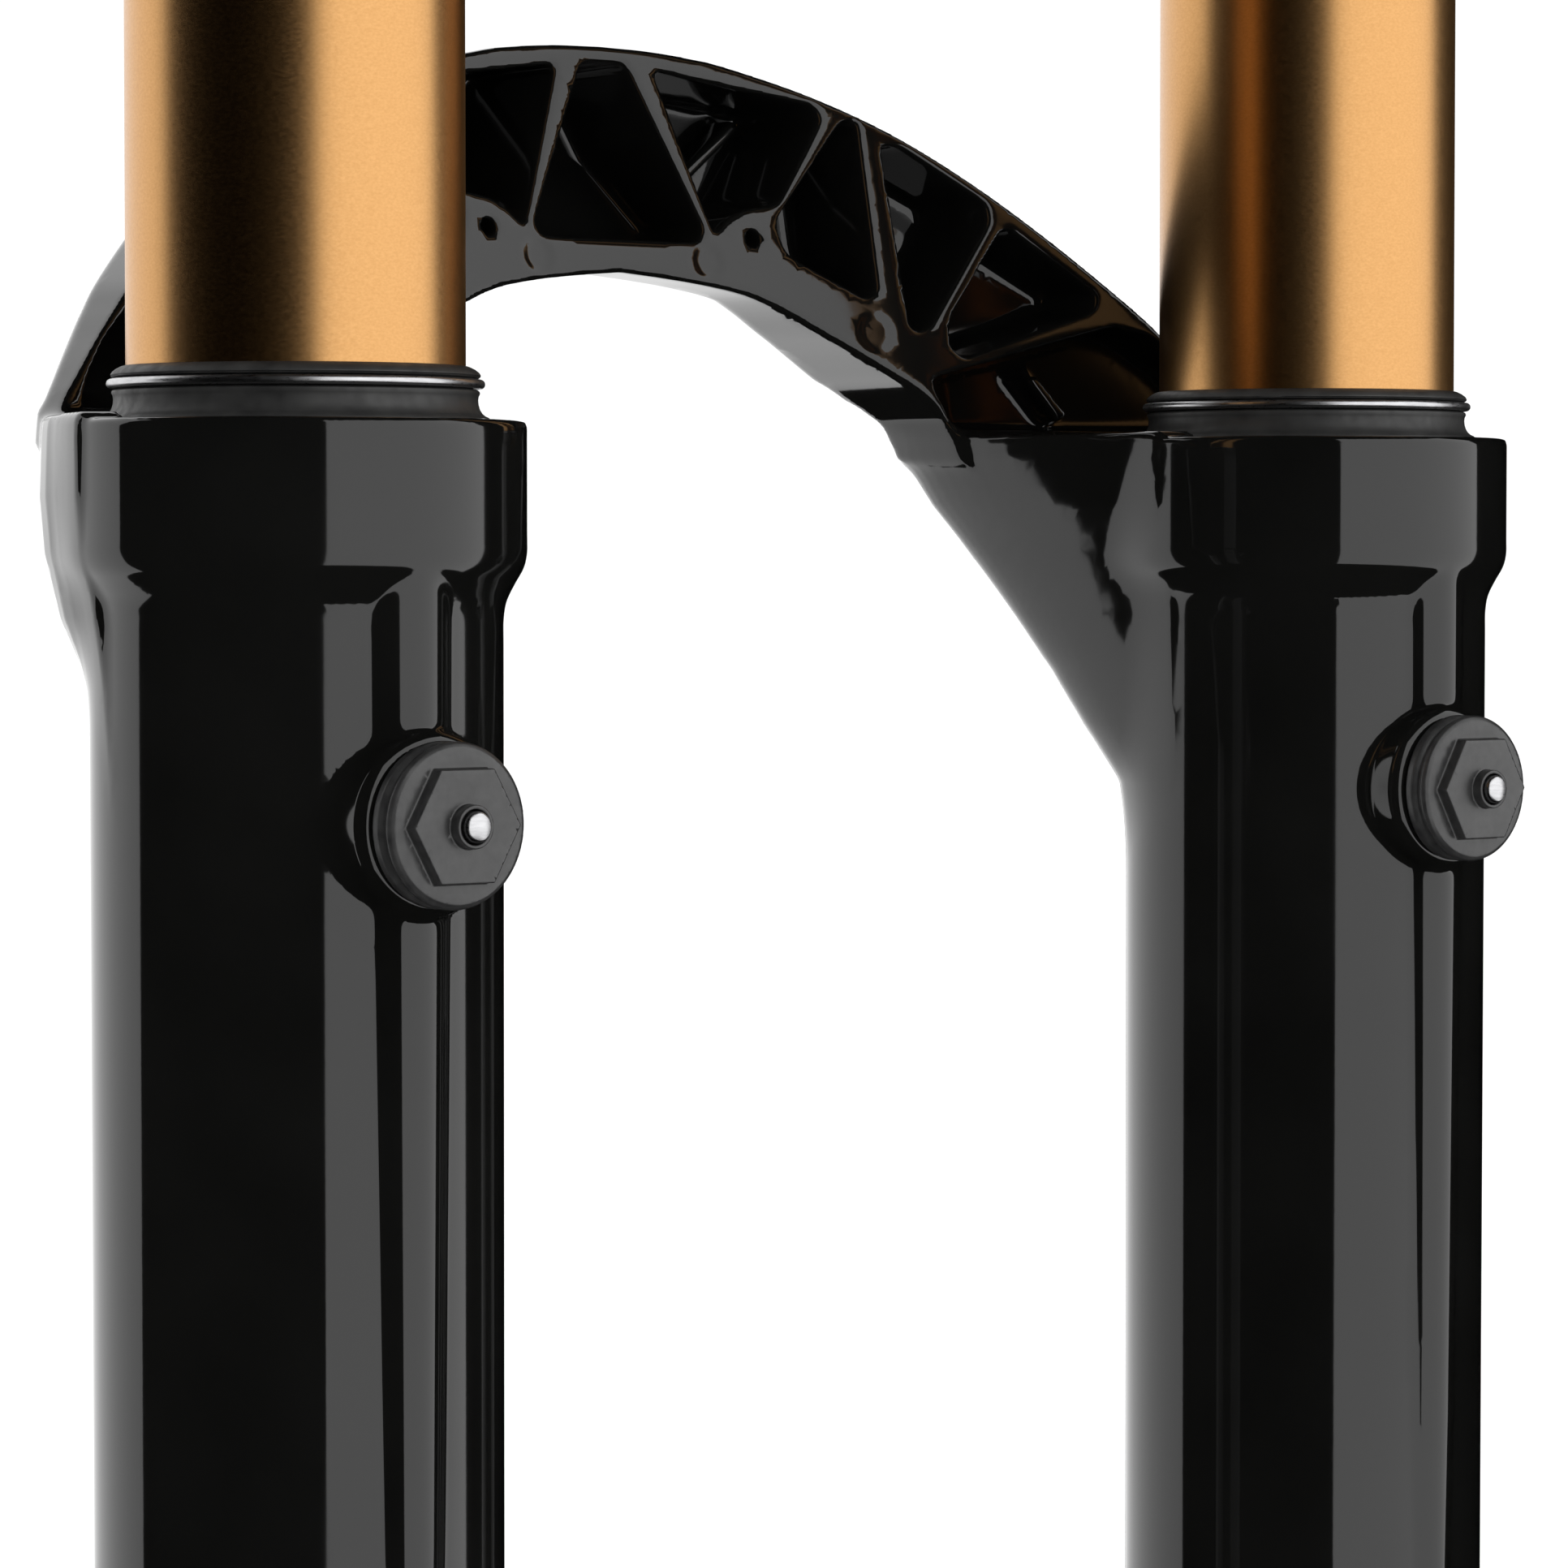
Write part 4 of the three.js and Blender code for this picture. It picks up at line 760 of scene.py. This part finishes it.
def bar(radius, low, high, edge=0.3):
    return [
        (0, low), (radius - edge, low), (radius, low + edge), (radius, high - edge),
        (radius - edge, high), (0, high),
    ]


def stepped(height, rows):
    """Profile rows given as [radius, rise above height]."""
    return [(radius, height + rise) for radius, rise in rows]


def circle_profile(radius, height, wire, steps=16):
    return arc(radius, height, wire, 0, 360 - 360 / steps, steps - 1)


def make_stanchions_and_seals(side, name):
    returned(f"{name}_stanchion", sleeve(16.3, STANCHION_R, -360, 1, 0.5), 160)
    returned(f"{name}_wiper_seal", stepped(COLLAR_Z, [
        (18.2, -9), (20.7, -9), (20.7, 0.1), (20.45, 0.35), (20.1, 0.5), (19.75, 0.8),
        (19.5, 1.2), (19.35, 1.7), (19.3, 2.2), (19.35, 2.6), (19.5, 2.9), (19.45, 3.15),
        (19.2, 3.3), (18.8, 3.4), (18.7, 3.5), (18.7, 4.3), (18.85, 4.45), (19.3, 4.5),
        (19.55, 4.65), (19.6, 4.85), (19.4, 5.15), (19.0, 5.45), (18.5, 5.7), (18.2, 5.8),
    ]), 144)
    returned(f"{name}_garter_spring", circle_profile(19.55, COLLAR_Z + 3.9, 0.5), 160)
    returned(f"{name}_foam_ring", sleeve(18.3, 20.7, COLLAR_Z - 19.5, COLLAR_Z - 9.3, 0.4))
    for level, high, height in (("upper", COLLAR_Z - 21, 14), ("lower", COLLAR_Z - 120, 20)):
        returned(f"{name}_{level}_bushing", sleeve(18.3, 19.4, high - height, high))
    button = [(0, 21), (1.6, 21), (1.65, 21.2), (1.65, 31.9), (1.58, 32.2), (1.3, 32.42), (0, 32.5)]
    centre = (side * LEG_X, LEG_Y, BLEEDER_Z)
    mirrored_button = [(radius, -along) for radius, along in button]
    returned(f"{name}_bleed_button", mirrored_button, 64, "y", centre)
    washer = sleeve(5.3, 8.2, LEG_END_Z - 1.5, LEG_END_Z - 0.3, 0.15)
    returned(f"{name}_crush_washer", washer)


def make_air_spring():
    for high, node in ((-24, "upper_volume_spacer"), (-41.4, "lower_volume_spacer")):
        returned(node, stepped(high, [
            (9, -17), (14.6, -17), (15, -16.6), (15, -10.4), (14.2, -9.6), (14.2, -7.4),
            (15, -6.6), (15, -0.4), (14.6, 0), (4, 0), (4, -3), (9, -3),
        ]))
    returned("air_valve_pin", [
        (0, -18), (2, -18), (2.2, -16), (2.2, -6), (0.8, -5), (0.8, 17.6), (0, 18),
    ], 48)
    returned("air_piston", stepped(-334, [
        (0, 0), (14, 0), (16, 1), (16, 5), (14.6, 5.4), (14.6, 8.6), (16, 9), (16, 13),
        (13, 14), (8, 14), (8, 11), (0, 11),
    ]))
    returned("air_shaft", sleeve(3.2, 5, LEG_FLOOR_Z + 0.3, -334.3, 0.4), 64)
    middle = LEG_FLOOR_Z + 4
    returned("bottom_out_bumper", [
        (5.3, middle - 3), (8.6, middle - 3), (9.2, middle - 2.2), (8.1, middle - 0.8),
        (7.6, middle), (8.1, middle + 0.8), (9.2, middle + 2.2), (8.6, middle + 3),
        (5.3, middle + 3),
    ])


def seal_head(node):
    returned(node, stepped(-360, [
        (5.3, 2), (15, 2), (16, 3), (16, 6), (14.6, 6.5), (14.6, 9), (16, 9.5), (16, 13),
        (9, 15), (5.3, 15),
    ]))


def make_damper():
    returned("damper_top_cap", [
        (3.3, -20), (12, -20), (12, -10), (16, -10), (16, 1.3), (17.4, 1.3), (17.4, 5.4),
        (17.1, 6), (16.6, 6.4), (8, 6.4), (3.3, 6.4),
    ], 144)
    returned("damper_cartridge_tube", sleeve(12.6, 14, -344, -10.3, 0.4))
    returned("compression_valve", [
        (0, -124), (10.8, -124), (12.3, -123), (12.3, -117), (11, -115.6), (6, -115.6),
        (6, -113), (4, -112), (4, -20.3), (0, -20.3),
    ])
    returned("floating_piston", stepped(-92, [
        (4.3, 0), (11.4, 0), (12.3, 1), (12.3, 4.4), (11, 4.8), (11, 7.2), (12.3, 7.6),
        (12.3, 11.2), (11.4, 12), (4.3, 12),
    ]))
    returned("damper_piston", stepped(-322, [
        (2.3, 0), (11, 0), (12.3, 1), (12.3, 8), (11, 9), (2.3, 9),
    ]))
    returned("damper_shaft", sleeve(2.3, 5, LEG_FLOOR_Z + 0.3, -322.3, 0.4), 64)
    returned("rebound_rod", bar(2, LEG_END_Z - 7.4, -318), 48)
    float_spring()


FLOAT_SPRING_LOW = -79.7
FLOAT_SPRING_HIGH = -20.3


def float_spring():
    """Round wire coil between the floating piston and the top cap."""
    coils, coil_radius, wire = 6, 9.4, 0.9
    low, high = FLOAT_SPRING_LOW + wire, FLOAT_SPRING_HIGH - wire
    steps, ring = coils * 40, 12
    points, faces = [], []
    climb = (high - low) / (2 * math.pi * coils)
    for i in range(steps + 1):
        turn = 2 * math.pi * coils * i / steps
        outward = np.array([math.cos(turn), math.sin(turn), 0])
        along = np.array([-coil_radius * math.sin(turn), coil_radius * math.cos(turn), climb])
        across = np.cross(along / np.linalg.norm(along), outward)
        centre = outward * coil_radius + [LEG_X, LEG_Y, low + climb * turn]
        for j in range(ring):
            angle = 2 * math.pi * j / ring
            points.append((centre + wire * (outward * math.cos(angle) + across * math.sin(angle))) * MM)
    for i in range(steps):
        for j in range(ring):
            a, b = i * ring + j, i * ring + (j + 1) % ring
            faces.append((a, b, b + ring, a + ring))
    faces.append(tuple(range(ring))[::-1])
    faces.append(tuple(steps * ring + j for j in range(ring)))
    mesh = bpy.data.meshes.new("floating_piston_spring_fine")
    mesh.from_pydata([tuple(p) for p in points], [], faces)
    obj = place("floating_piston_spring_fine", mesh)
    tidy_lathe(mesh)
    spring = finish_piece(obj, "floating_piston_spring")
    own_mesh(spring)


# ---- Cut pieces ----
def hexagon_distance(a, b, across_flats):
    """Distance to a hexagon with corners on the a axis."""
    third = math.sqrt(3) / 2
    flats = np.maximum(np.abs(b), np.abs(a) * third + np.abs(b) * 0.5)
    return flats - across_flats / 2


def leg_radius(x, y, side):
    return np.hypot(x - side * LEG_X, y - LEG_Y)


def flutes(x, y, side, count, distance, radius):
    """Distance to a ring of round flutes about a leg axis."""
    out, ahead = x - side * LEG_X, y - LEG_Y
    wedge = 2 * math.pi / count
    turn = (np.arctan2(ahead, out) + wedge / 2) % wedge - wedge / 2
    about = np.hypot(out, ahead)
    return np.hypot(about * np.cos(turn) - distance, about * np.sin(turn)) - radius


def bleeder_body(side, name):
    rows = [
        (0, 18.7), (4.2, 18.7), (4.2, 25.3), (8.3, 25.3), (8.7, 25.6), (8.7, 26.6), (8.4, 26.9),
        (8.15, 27.1), (8.1, 27.4), (8.3, 27.6), (8.65, 27.8), (8.7, 28.1), (8.55, 28.5),
        (8.1, 28.8), (7.2, 28.95), (0, 29.0),
    ]

    def draw(x, y, z):
        out, up = x - side * LEG_X, z - BLEEDER_Z
        behind = LEG_Y - y
        about = np.hypot(out, up)
        body = turned(rows, about[:, 0, :], behind[0, :, 0])
        body = np.swapaxes(body, 1, 2)
        head = keep(hexagon_distance(out, up, 11.8) + 0 * y, np.maximum(behind - 30.4, 28 - behind), 0.2)
        body = join(body, head, 0.3)
        collar = keep(about - 2.3, np.maximum(behind - 31.7, 29 - behind), 0.2)
        body = join(body, collar, 0.1)
        return cut(body, np.maximum(about - 1.85, 15 - behind), 0.1)

    reach = 9.2
    low = [side * LEG_X - reach, LEG_Y - 32.2, BLEEDER_Z - reach]
    high = [side * LEG_X + reach, LEG_Y - 18.2, BLEEDER_Z + reach]
    carved(f"{name}_bleeder_body", low, high, 0.12, draw)


def foot_nut(side, name):
    def draw(x, y, z):
        about = leg_radius(x, y, side) + 0 * z
        head = hexagon_distance(x - side * LEG_X, y - LEG_Y, 13) + 0 * z
        cone = (about - 7.0) * 0.7 + (LEG_END_Z - 6.2 - z) * 0.7
        head = keep(keep(head, np.maximum(LEG_END_Z - 6.6 - z, z - LEG_END_Z + 1.8), 0.3), cone, 0.1)
        neck = keep(about - 4.9, np.maximum(LEG_END_Z - 3 - z, z - LEG_FLOOR_Z + 0.1), 0.3)
        return cut(join(head, neck, 0.2), about - 2.6, 0.2)

    low = [side * LEG_X - 8.4, LEG_Y - 7.6, LEG_END_Z - 7.2]
    high = [side * LEG_X + 8.4, LEG_Y + 7.6, LEG_FLOOR_Z + 0.6]
    carved(f"{name}_foot_nut", low, high, 0.16, draw)


def air_top_cap(x, y, z):
    about = leg_radius(x, y, -1)
    body = turned([
        (0, -22), (13, -22), (13, -14), (16, -14), (16, 1.3), (17.4, 1.3), (17.4, 5.6),
        (16.6, 6.4), (9.5, 6.4), (8.5, 7.4), (4.6, 7.4), (4, 8), (4, 19), (3.5, 19.6), (0, 19.6),
    ], about[:, :, 0], z[0, 0])
    out, ahead = x + LEG_X, y - LEG_Y
    notch = np.full(body.shape, FAR, np.float32)
    for i in range(3):
        turn = i * math.pi / 3
        across = np.abs(ahead * math.cos(turn) - out * math.sin(turn))
        slit = np.maximum(np.maximum(across - 1.6, 3.4 - z), 15.4 - about)
        notch = np.minimum(notch, slit)
    thread = 0.13 * np.cos(2 * math.pi * z / 0.8) * ((z > 9) & (z < 18.5))
    body = body + np.where(about > 3, thread, 0)
    return cut(cut(body, notch, 0.3), about - 2.6 + 0 * z, 0.2)


def air_cap(x, y, z):
    body = turned([
        (0, 9), (6.4, 9), (6.8, 9.6), (6.8, 21), (5.8, 22.4), (3.2, 22.7), (0, 22.8),
    ], leg_radius(x, y, -1)[:, :, 0], z[0, 0])
    grip = np.maximum(flutes(x, y, -1, 24, 7.1, 0.55) + 0 * z, z - 19.5)
    hollow = np.maximum(leg_radius(x, y, -1) - 4.3, z - 20.6)
    return cut(cut(body, grip, 0.3), hollow, 0.15)


KNOB_BASE_Z = 7.0


def high_speed_knob(x, y, z):
    body = turned(stepped(KNOB_BASE_Z, [
        (0, 0), (14, 0), (14.6, 0.6), (14.6, 6), (13.6, 7), (9.4, 7), (8.3, 6.4), (0, 6.0),
    ]), leg_radius(x, y, 1)[:, :, 0], z[0, 0])
    body = cut(body, flutes(x, y, 1, 10, 15.6, 2.0) + 0 * z, 0.8)
    pointer = np.hypot(x - LEG_X, y - LEG_Y + 11.6) - 0.75
    body = cut(body, np.maximum(pointer, KNOB_BASE_Z + 6.4 - z), 0.2)
    return cut(body, leg_radius(x, y, 1) - 7.3 + 0 * z, 0.2)


def low_speed_knob(x, y, z):
    body = turned([
        (0, -18), (3, -18), (3, 6.7), (7, 7), (7, 14.5), (8.6, 14.8), (9, 15.4), (9, 19),
        (8.2, 20), (5, 20.1), (4.6, 19.7), (0, 19.6),
    ], leg_radius(x, y, 1)[:, :, 0], z[0, 0])
    grip = np.maximum(flutes(x, y, 1, 8, 9.6, 1.2) + 0 * z, KNOB_BASE_Z + 7.6 - z)
    return cut(body, grip, 0.5)


def rebound_knob(x, y, z):
    top = LEG_END_Z - 7.7
    body = turned([
        (0, top - 8.4), (3.6, top - 8.6), (4.2, top - 9), (5.2, top - 9), (6.2, top - 8),
        (6.2, top - 1), (5.6, top), (0, top),
    ], leg_radius(x, y, 1)[:, :, 0], z[0, 0])
    grip = np.maximum(flutes(x, y, 1, 8, 6.6, 1.1) + 0 * z, z - top + 1.6)
    return cut(body, grip, 0.4)


def crown(x, y, z):
    """Forged crown for x from 0 outward: arm, socket, steerer boss and hollowed rib."""
    half = [
        (0, -22), (18, -22), (30, -13), (LEG_X - 4, LEG_Y - 20.5), (LEG_X + 4, LEG_Y),
        (LEG_X, LEG_Y + 22.5), (40, 38), (20, 30), (0, 30),
    ]
    outline = rounded(half[1:-1] + [(-a, b) for a, b in half[-2:0:-1]], 9)
    arm = outline_distance(outline, x[:, :, 0], y[:, :, 0])[:, :, None]
    arm = keep(arm, np.maximum(z, -16 - z), 3.0)
    boss = turned([
        (0, -30), (20, -30), (23, -27), (24.5, -10), (23.4, -1.4), (22, 0), (0, 0),
    ], np.hypot(x, y)[:, :, 0], z[0, 0])
    about = leg_radius(x, y, 1)
    socket = turned([
        (0, -35), (21.3, -35), (22.5, -33.8), (22.5, 3.5), (21, 5), (0, 5),
    ], about[:, :, 0], z[0, 0])
    rib = outline_distance([(6, -15), (44, -15), (40, -24), (12, -27)], y[0], z[0])[None]
    rib = keep(rib, np.maximum(20 - x, x - 62), 2.0)
    pocket = outline_distance(rounded([(13, -33), (37, -33), (34, -8), (16, -8)], 4), y[0], z[0])[None]
    pocket = keep(pocket, np.maximum(27 - x, x - 50), 3.0)
    solid = join(join(join(arm, boss, 4.0), rib, 4.0), socket, 5.0)
    solid = keep(solid, np.maximum(z - np.where(about < 26, 5, 0.0), -35.3 - z), 0.0)
    steerer_hole = np.maximum(np.hypot(x, y) - 18.6, -40 - z)
    steerer_hole = np.minimum(steerer_hole, np.maximum(np.hypot(x, y) - 20.2, -2 - z))
    solid = cut(cut(solid, pocket, 1.5), steerer_hole, 0.3)
    return cut(solid, about - 18.3 + 0 * z, 0.5)


def make_crown(step=0.5):
    right = Block([0, -26, -36.5], [100, 52, 6.5], step, crown)
    finish_piece(skin("crown_fine", [right, right.flipped()]), "crown")


HEAD_X = -BOSS_END_X - 0.3
PIVOT_X = HEAD_X - 10.4


def thru_axle(x, y, z):
    """Hollow-ended axle with a domed head and the flat tongue that the lever pins to."""
    profile = [
        (0, PIVOT_X - 4), (4.2, PIVOT_X - 4), (5, PIVOT_X - 3.2), (5, HEAD_X - 3.2),
        (10.4, HEAD_X - 3.2), (11.2, HEAD_X - 2.6), (11.2, HEAD_X), (7.5, HEAD_X), (7.5, 66),
        (6.6, 67), (6.6, 83), (6, 84), (0, 84),
    ]
    about = np.hypot(y - AXLE_Y, z - AXLE_Z)
    body = np.moveaxis(turned(profile, about[0], x[:, 0, 0]), 2, 0)
    cheek = np.maximum(3.0 - np.abs(y - AXLE_Y), x - PIVOT_X - 7)
    body = cut(body, cheek + 0 * z, 0.3)
    thread = 0.16 * np.cos(2 * math.pi * x / 1.5) * ((x > 67.5) & (x < 82.5))
    body = body + np.where(about > 5, thread, 0)
    hole = np.hypot(x - PIVOT_X, z - AXLE_Z) - 1.8
    return cut(body, hole + 0 * y, 0.2)


def axle_lever(x, y, z):
    out, up = x - PIVOT_X, z - AXLE_Z
    across = np.abs(y - AXLE_Y)
    cam = keep(np.hypot(out, up) - 6.8, across - 7.2, 0.6)
    outline = smooth([
        (3, 4), (-1, 10), (-3.4, 19), (-4.4, 30), (-3.6, 44), (-3, 56), (-4.4, 66), (-6.6, 72.6),
        (-8.6, 73), (-9.7, 71.6), (-8.8, 66), (-7.6, 56), (-8.9, 43), (-9.6, 30), (-9.7, 20),
        (-9.4, 12), (-8.2, 4), (-6.4, -2), (-1, 0), (3, 4),
    ], 4)
    blade = outline_distance(outline[:-1], out[:, :, 0].repeat(up.size, 1), up[0, 0][None, :])[:, None, :]
    width = np.interp(up[0, 0], [0, 20, 60, 74], [6.6, 5.6, 6.4, 5.4])[None, None, :]
    blade = keep(blade, across - width, 2.0)
    dish = np.hypot(out + 22.5, (up - 42) * 0.42) - 14.2
    blade = cut(blade, np.maximum(dish, across - 3.6), 1.0)
    slot = np.maximum(np.maximum(across - 3.45, np.abs(up) - 7.3), -7 - out)
    return cut(cut(join(cam, blade, 2.0), slot, 0.3), np.hypot(out, up) - 1.8 + 0 * y, 0.2)


def make_cut_pieces():
    for side, name in SIDES:
        bleeder_body(side, name)
        foot_nut(side, name)

    def about_leg(side, reach, low, high):
        return (
            [side * LEG_X - reach, LEG_Y - reach, low], [side * LEG_X + reach, LEG_Y + reach, high],
        )

    carved("air_spring_top_cap", *about_leg(-1, 18, -22.6, 20.2), 0.22, air_top_cap)
    carved("air_valve_cap", *about_leg(-1, 7.3, 8.5, 23.3), 0.12, air_cap)
    carved("high_speed_compression_knob", *about_leg(1, 15.2, 6.4, 14.8), 0.18, high_speed_knob)
    carved("low_speed_compression_knob", *about_leg(1, 9.6, -18.6, 20.8), 0.18, low_speed_knob)
    carved("rebound_knob", *about_leg(1, 6.8, LEG_END_Z - 17.4, LEG_END_Z - 7.2), 0.14, rebound_knob)
    low, high = [PIVOT_X - 4.6, AXLE_Y - 11.8, AXLE_Z - 11.8], [84.6, AXLE_Y + 11.8, AXLE_Z + 11.8]
    carved("thru_axle", low, high, 0.3, thru_axle)
    low, high = [PIVOT_X - 11, AXLE_Y - 8, AXLE_Z - 8], [PIVOT_X + 8, AXLE_Y + 8, AXLE_Z + 74.5]
    carved("axle_lever", low, high, 0.25, axle_lever)


def make_crown_pieces():
    returned("steerer_tube", [
        (13.4, -29), (17.9, -29), (18.3, -28.6), (18.3, -1.7), (19.4, -1.7), (19.9, -1.2),
        (19.9, 7), (18.6, 9), (17.9, 16), (17, 30), (15.7, 57), (14.3, 85), (14.3, 249.4),
        (13.7, 250), (12, 250), (12, 90), (13.4, 40),
    ], 128, centre=(0, 0, 0))
    pin = bar(1.5, -7.4, 7.4)
    returned("axle_lever_pin", pin, 48, "y", (PIVOT_X, AXLE_Y, AXLE_Z))
    nut = [
        (6.9, 68), (9.5, 68), (9.5, 88.4), (12, 88.4), (12.4, 88.8), (12.4, 90.6), (11.6, 91.4),
        (5.2, 91.4), (4.8, 90.8), (4.6, 88.4), (0, 88.2), (0, 86), (6.9, 86),
    ]
    returned("axle_nut", nut, 96, "x", (0, AXLE_Y, AXLE_Z))


# ---- Studio ----
CAMERA_BEARING = math.radians(39.883)
CAMERA_PITCH = math.radians(2.25)
CAMERA_LENS = 133.2
SOFTBOX_R = 1.6
SOFTBOX_LOW = -1.3
SOFTBOX_HIGH = 1.5


def make_camera():
    """Long-lens view from behind and to the left, looking a little down at the collars."""
    angle = CAMERA_BEARING
    distance, sideways, height = 665.15, 6.17, COLLAR_Z - 14.3
    look = Vector((math.sin(angle), math.cos(angle), 0))
    right = Vector((math.cos(angle), -math.sin(angle), 0))
    data = bpy.data.cameras.new("camera")
    data.sensor_width = 36
    data.lens = CAMERA_LENS
    data.clip_end = 100
    camera = bpy.data.objects.new("camera", data)
    camera.location = (Vector((0, LEG_Y, height)) - look * distance - right * sideways) * MM
    camera.rotation_euler = (math.pi / 2 - CAMERA_PITCH, 0, -angle)
    bpy.context.scene.collection.objects.link(camera)
    bpy.context.scene.camera = camera
    return angle


def emitter(name, strength):
    material = bpy.data.materials.new(name)
    material.use_nodes = True
    nodes, links = material.node_tree.nodes, material.node_tree.links
    nodes.remove(nodes["Principled BSDF"])
    light = nodes.new("ShaderNodeEmission")
    light.inputs["Color"].default_value = (1, 1, 1, 1)
    light.inputs["Strength"].default_value = strength
    links.new(light.outputs["Emission"], nodes["Material Output"].inputs["Surface"])
    return material


def softbox(name, view_angle, start, end, strength, steps=48):
    """Curved soft light: an upright wall that spans two bearings about the fork, measured
    toward image right from the direction of the camera."""
    toward_camera = math.atan2(-math.cos(view_angle), -math.sin(view_angle))
    points, faces = [], []
    for i in range(steps + 1):
        bearing = toward_camera + math.radians(start + (end - start) * i / steps)
        for height in (SOFTBOX_LOW, SOFTBOX_HIGH):
            points.append((SOFTBOX_R * math.cos(bearing), SOFTBOX_R * math.sin(bearing), height))
    for i in range(steps):
        faces.append((2 * i, 2 * i + 2, 2 * i + 3, 2 * i + 1))
    mesh = bpy.data.meshes.new(name)
    mesh.from_pydata(points, [], faces)
    mesh.materials.append(emitter(name, strength))
    wall = place(name, mesh)
    wall.visible_camera = False
    wall.visible_shadow = False


def make_floor():
    """Round pale floor just under the lowest piece."""
    low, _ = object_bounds()
    place_below = (0, 0, low.z - 0.001)
    bpy.ops.mesh.primitive_circle_add(
        vertices=96, radius=30, fill_type="NGON", location=place_below)
    floor = bpy.context.object
    floor.name = "floor"
    material = bpy.data.materials.new("pale_floor")
    material.use_nodes = True
    shader = material.node_tree.nodes["Principled BSDF"]
    shader.inputs["Base Color"].default_value = (0.94, 0.94, 0.94, 1)
    shader.inputs["Roughness"].default_value = 0.9
    shader.inputs["Emission Color"].default_value = (1, 1, 1, 1)
    shader.inputs["Emission Strength"].default_value = 0.16
    floor.data.materials.append(material)
    floor.visible_glossy = False


def make_world():
    world = bpy.data.worlds.new("studio")
    bpy.context.scene.world = world
    world.use_nodes = True
    background = world.node_tree.nodes["Background"]
    background.inputs["Color"].default_value = (1, 1, 1, 1)
    background.inputs["Strength"].default_value = 1.08
    world.cycles_visibility.glossy = False


def make_studio():
    angle = make_camera()
    make_world()
    make_floor()
    softbox("key_softbox", angle, 16.5, 111, 1.7)
    softbox("fill_softbox", angle, -91, -178, 1.3)
    bpy.context.scene.view_settings.view_transform = "Standard"
    bpy.context.scene.view_settings.look = "None"


make_materials()
lowers(0.45)
make_crown()
make_crown_pieces()
for leg_side, leg_name in SIDES:
    make_stanchions_and_seals(leg_side, leg_name)
make_air_spring()
seal_head("air_seal_head")
seal_head("damper_seal_head")
make_damper()
make_cut_pieces()
for node_name, node in frame["nodes"].items():
    node.data.materials.clear()
    node.data.materials.append(MATERIALS[SLOT_OF.get(node_name, DEFAULT_SLOT)])
make_studio()
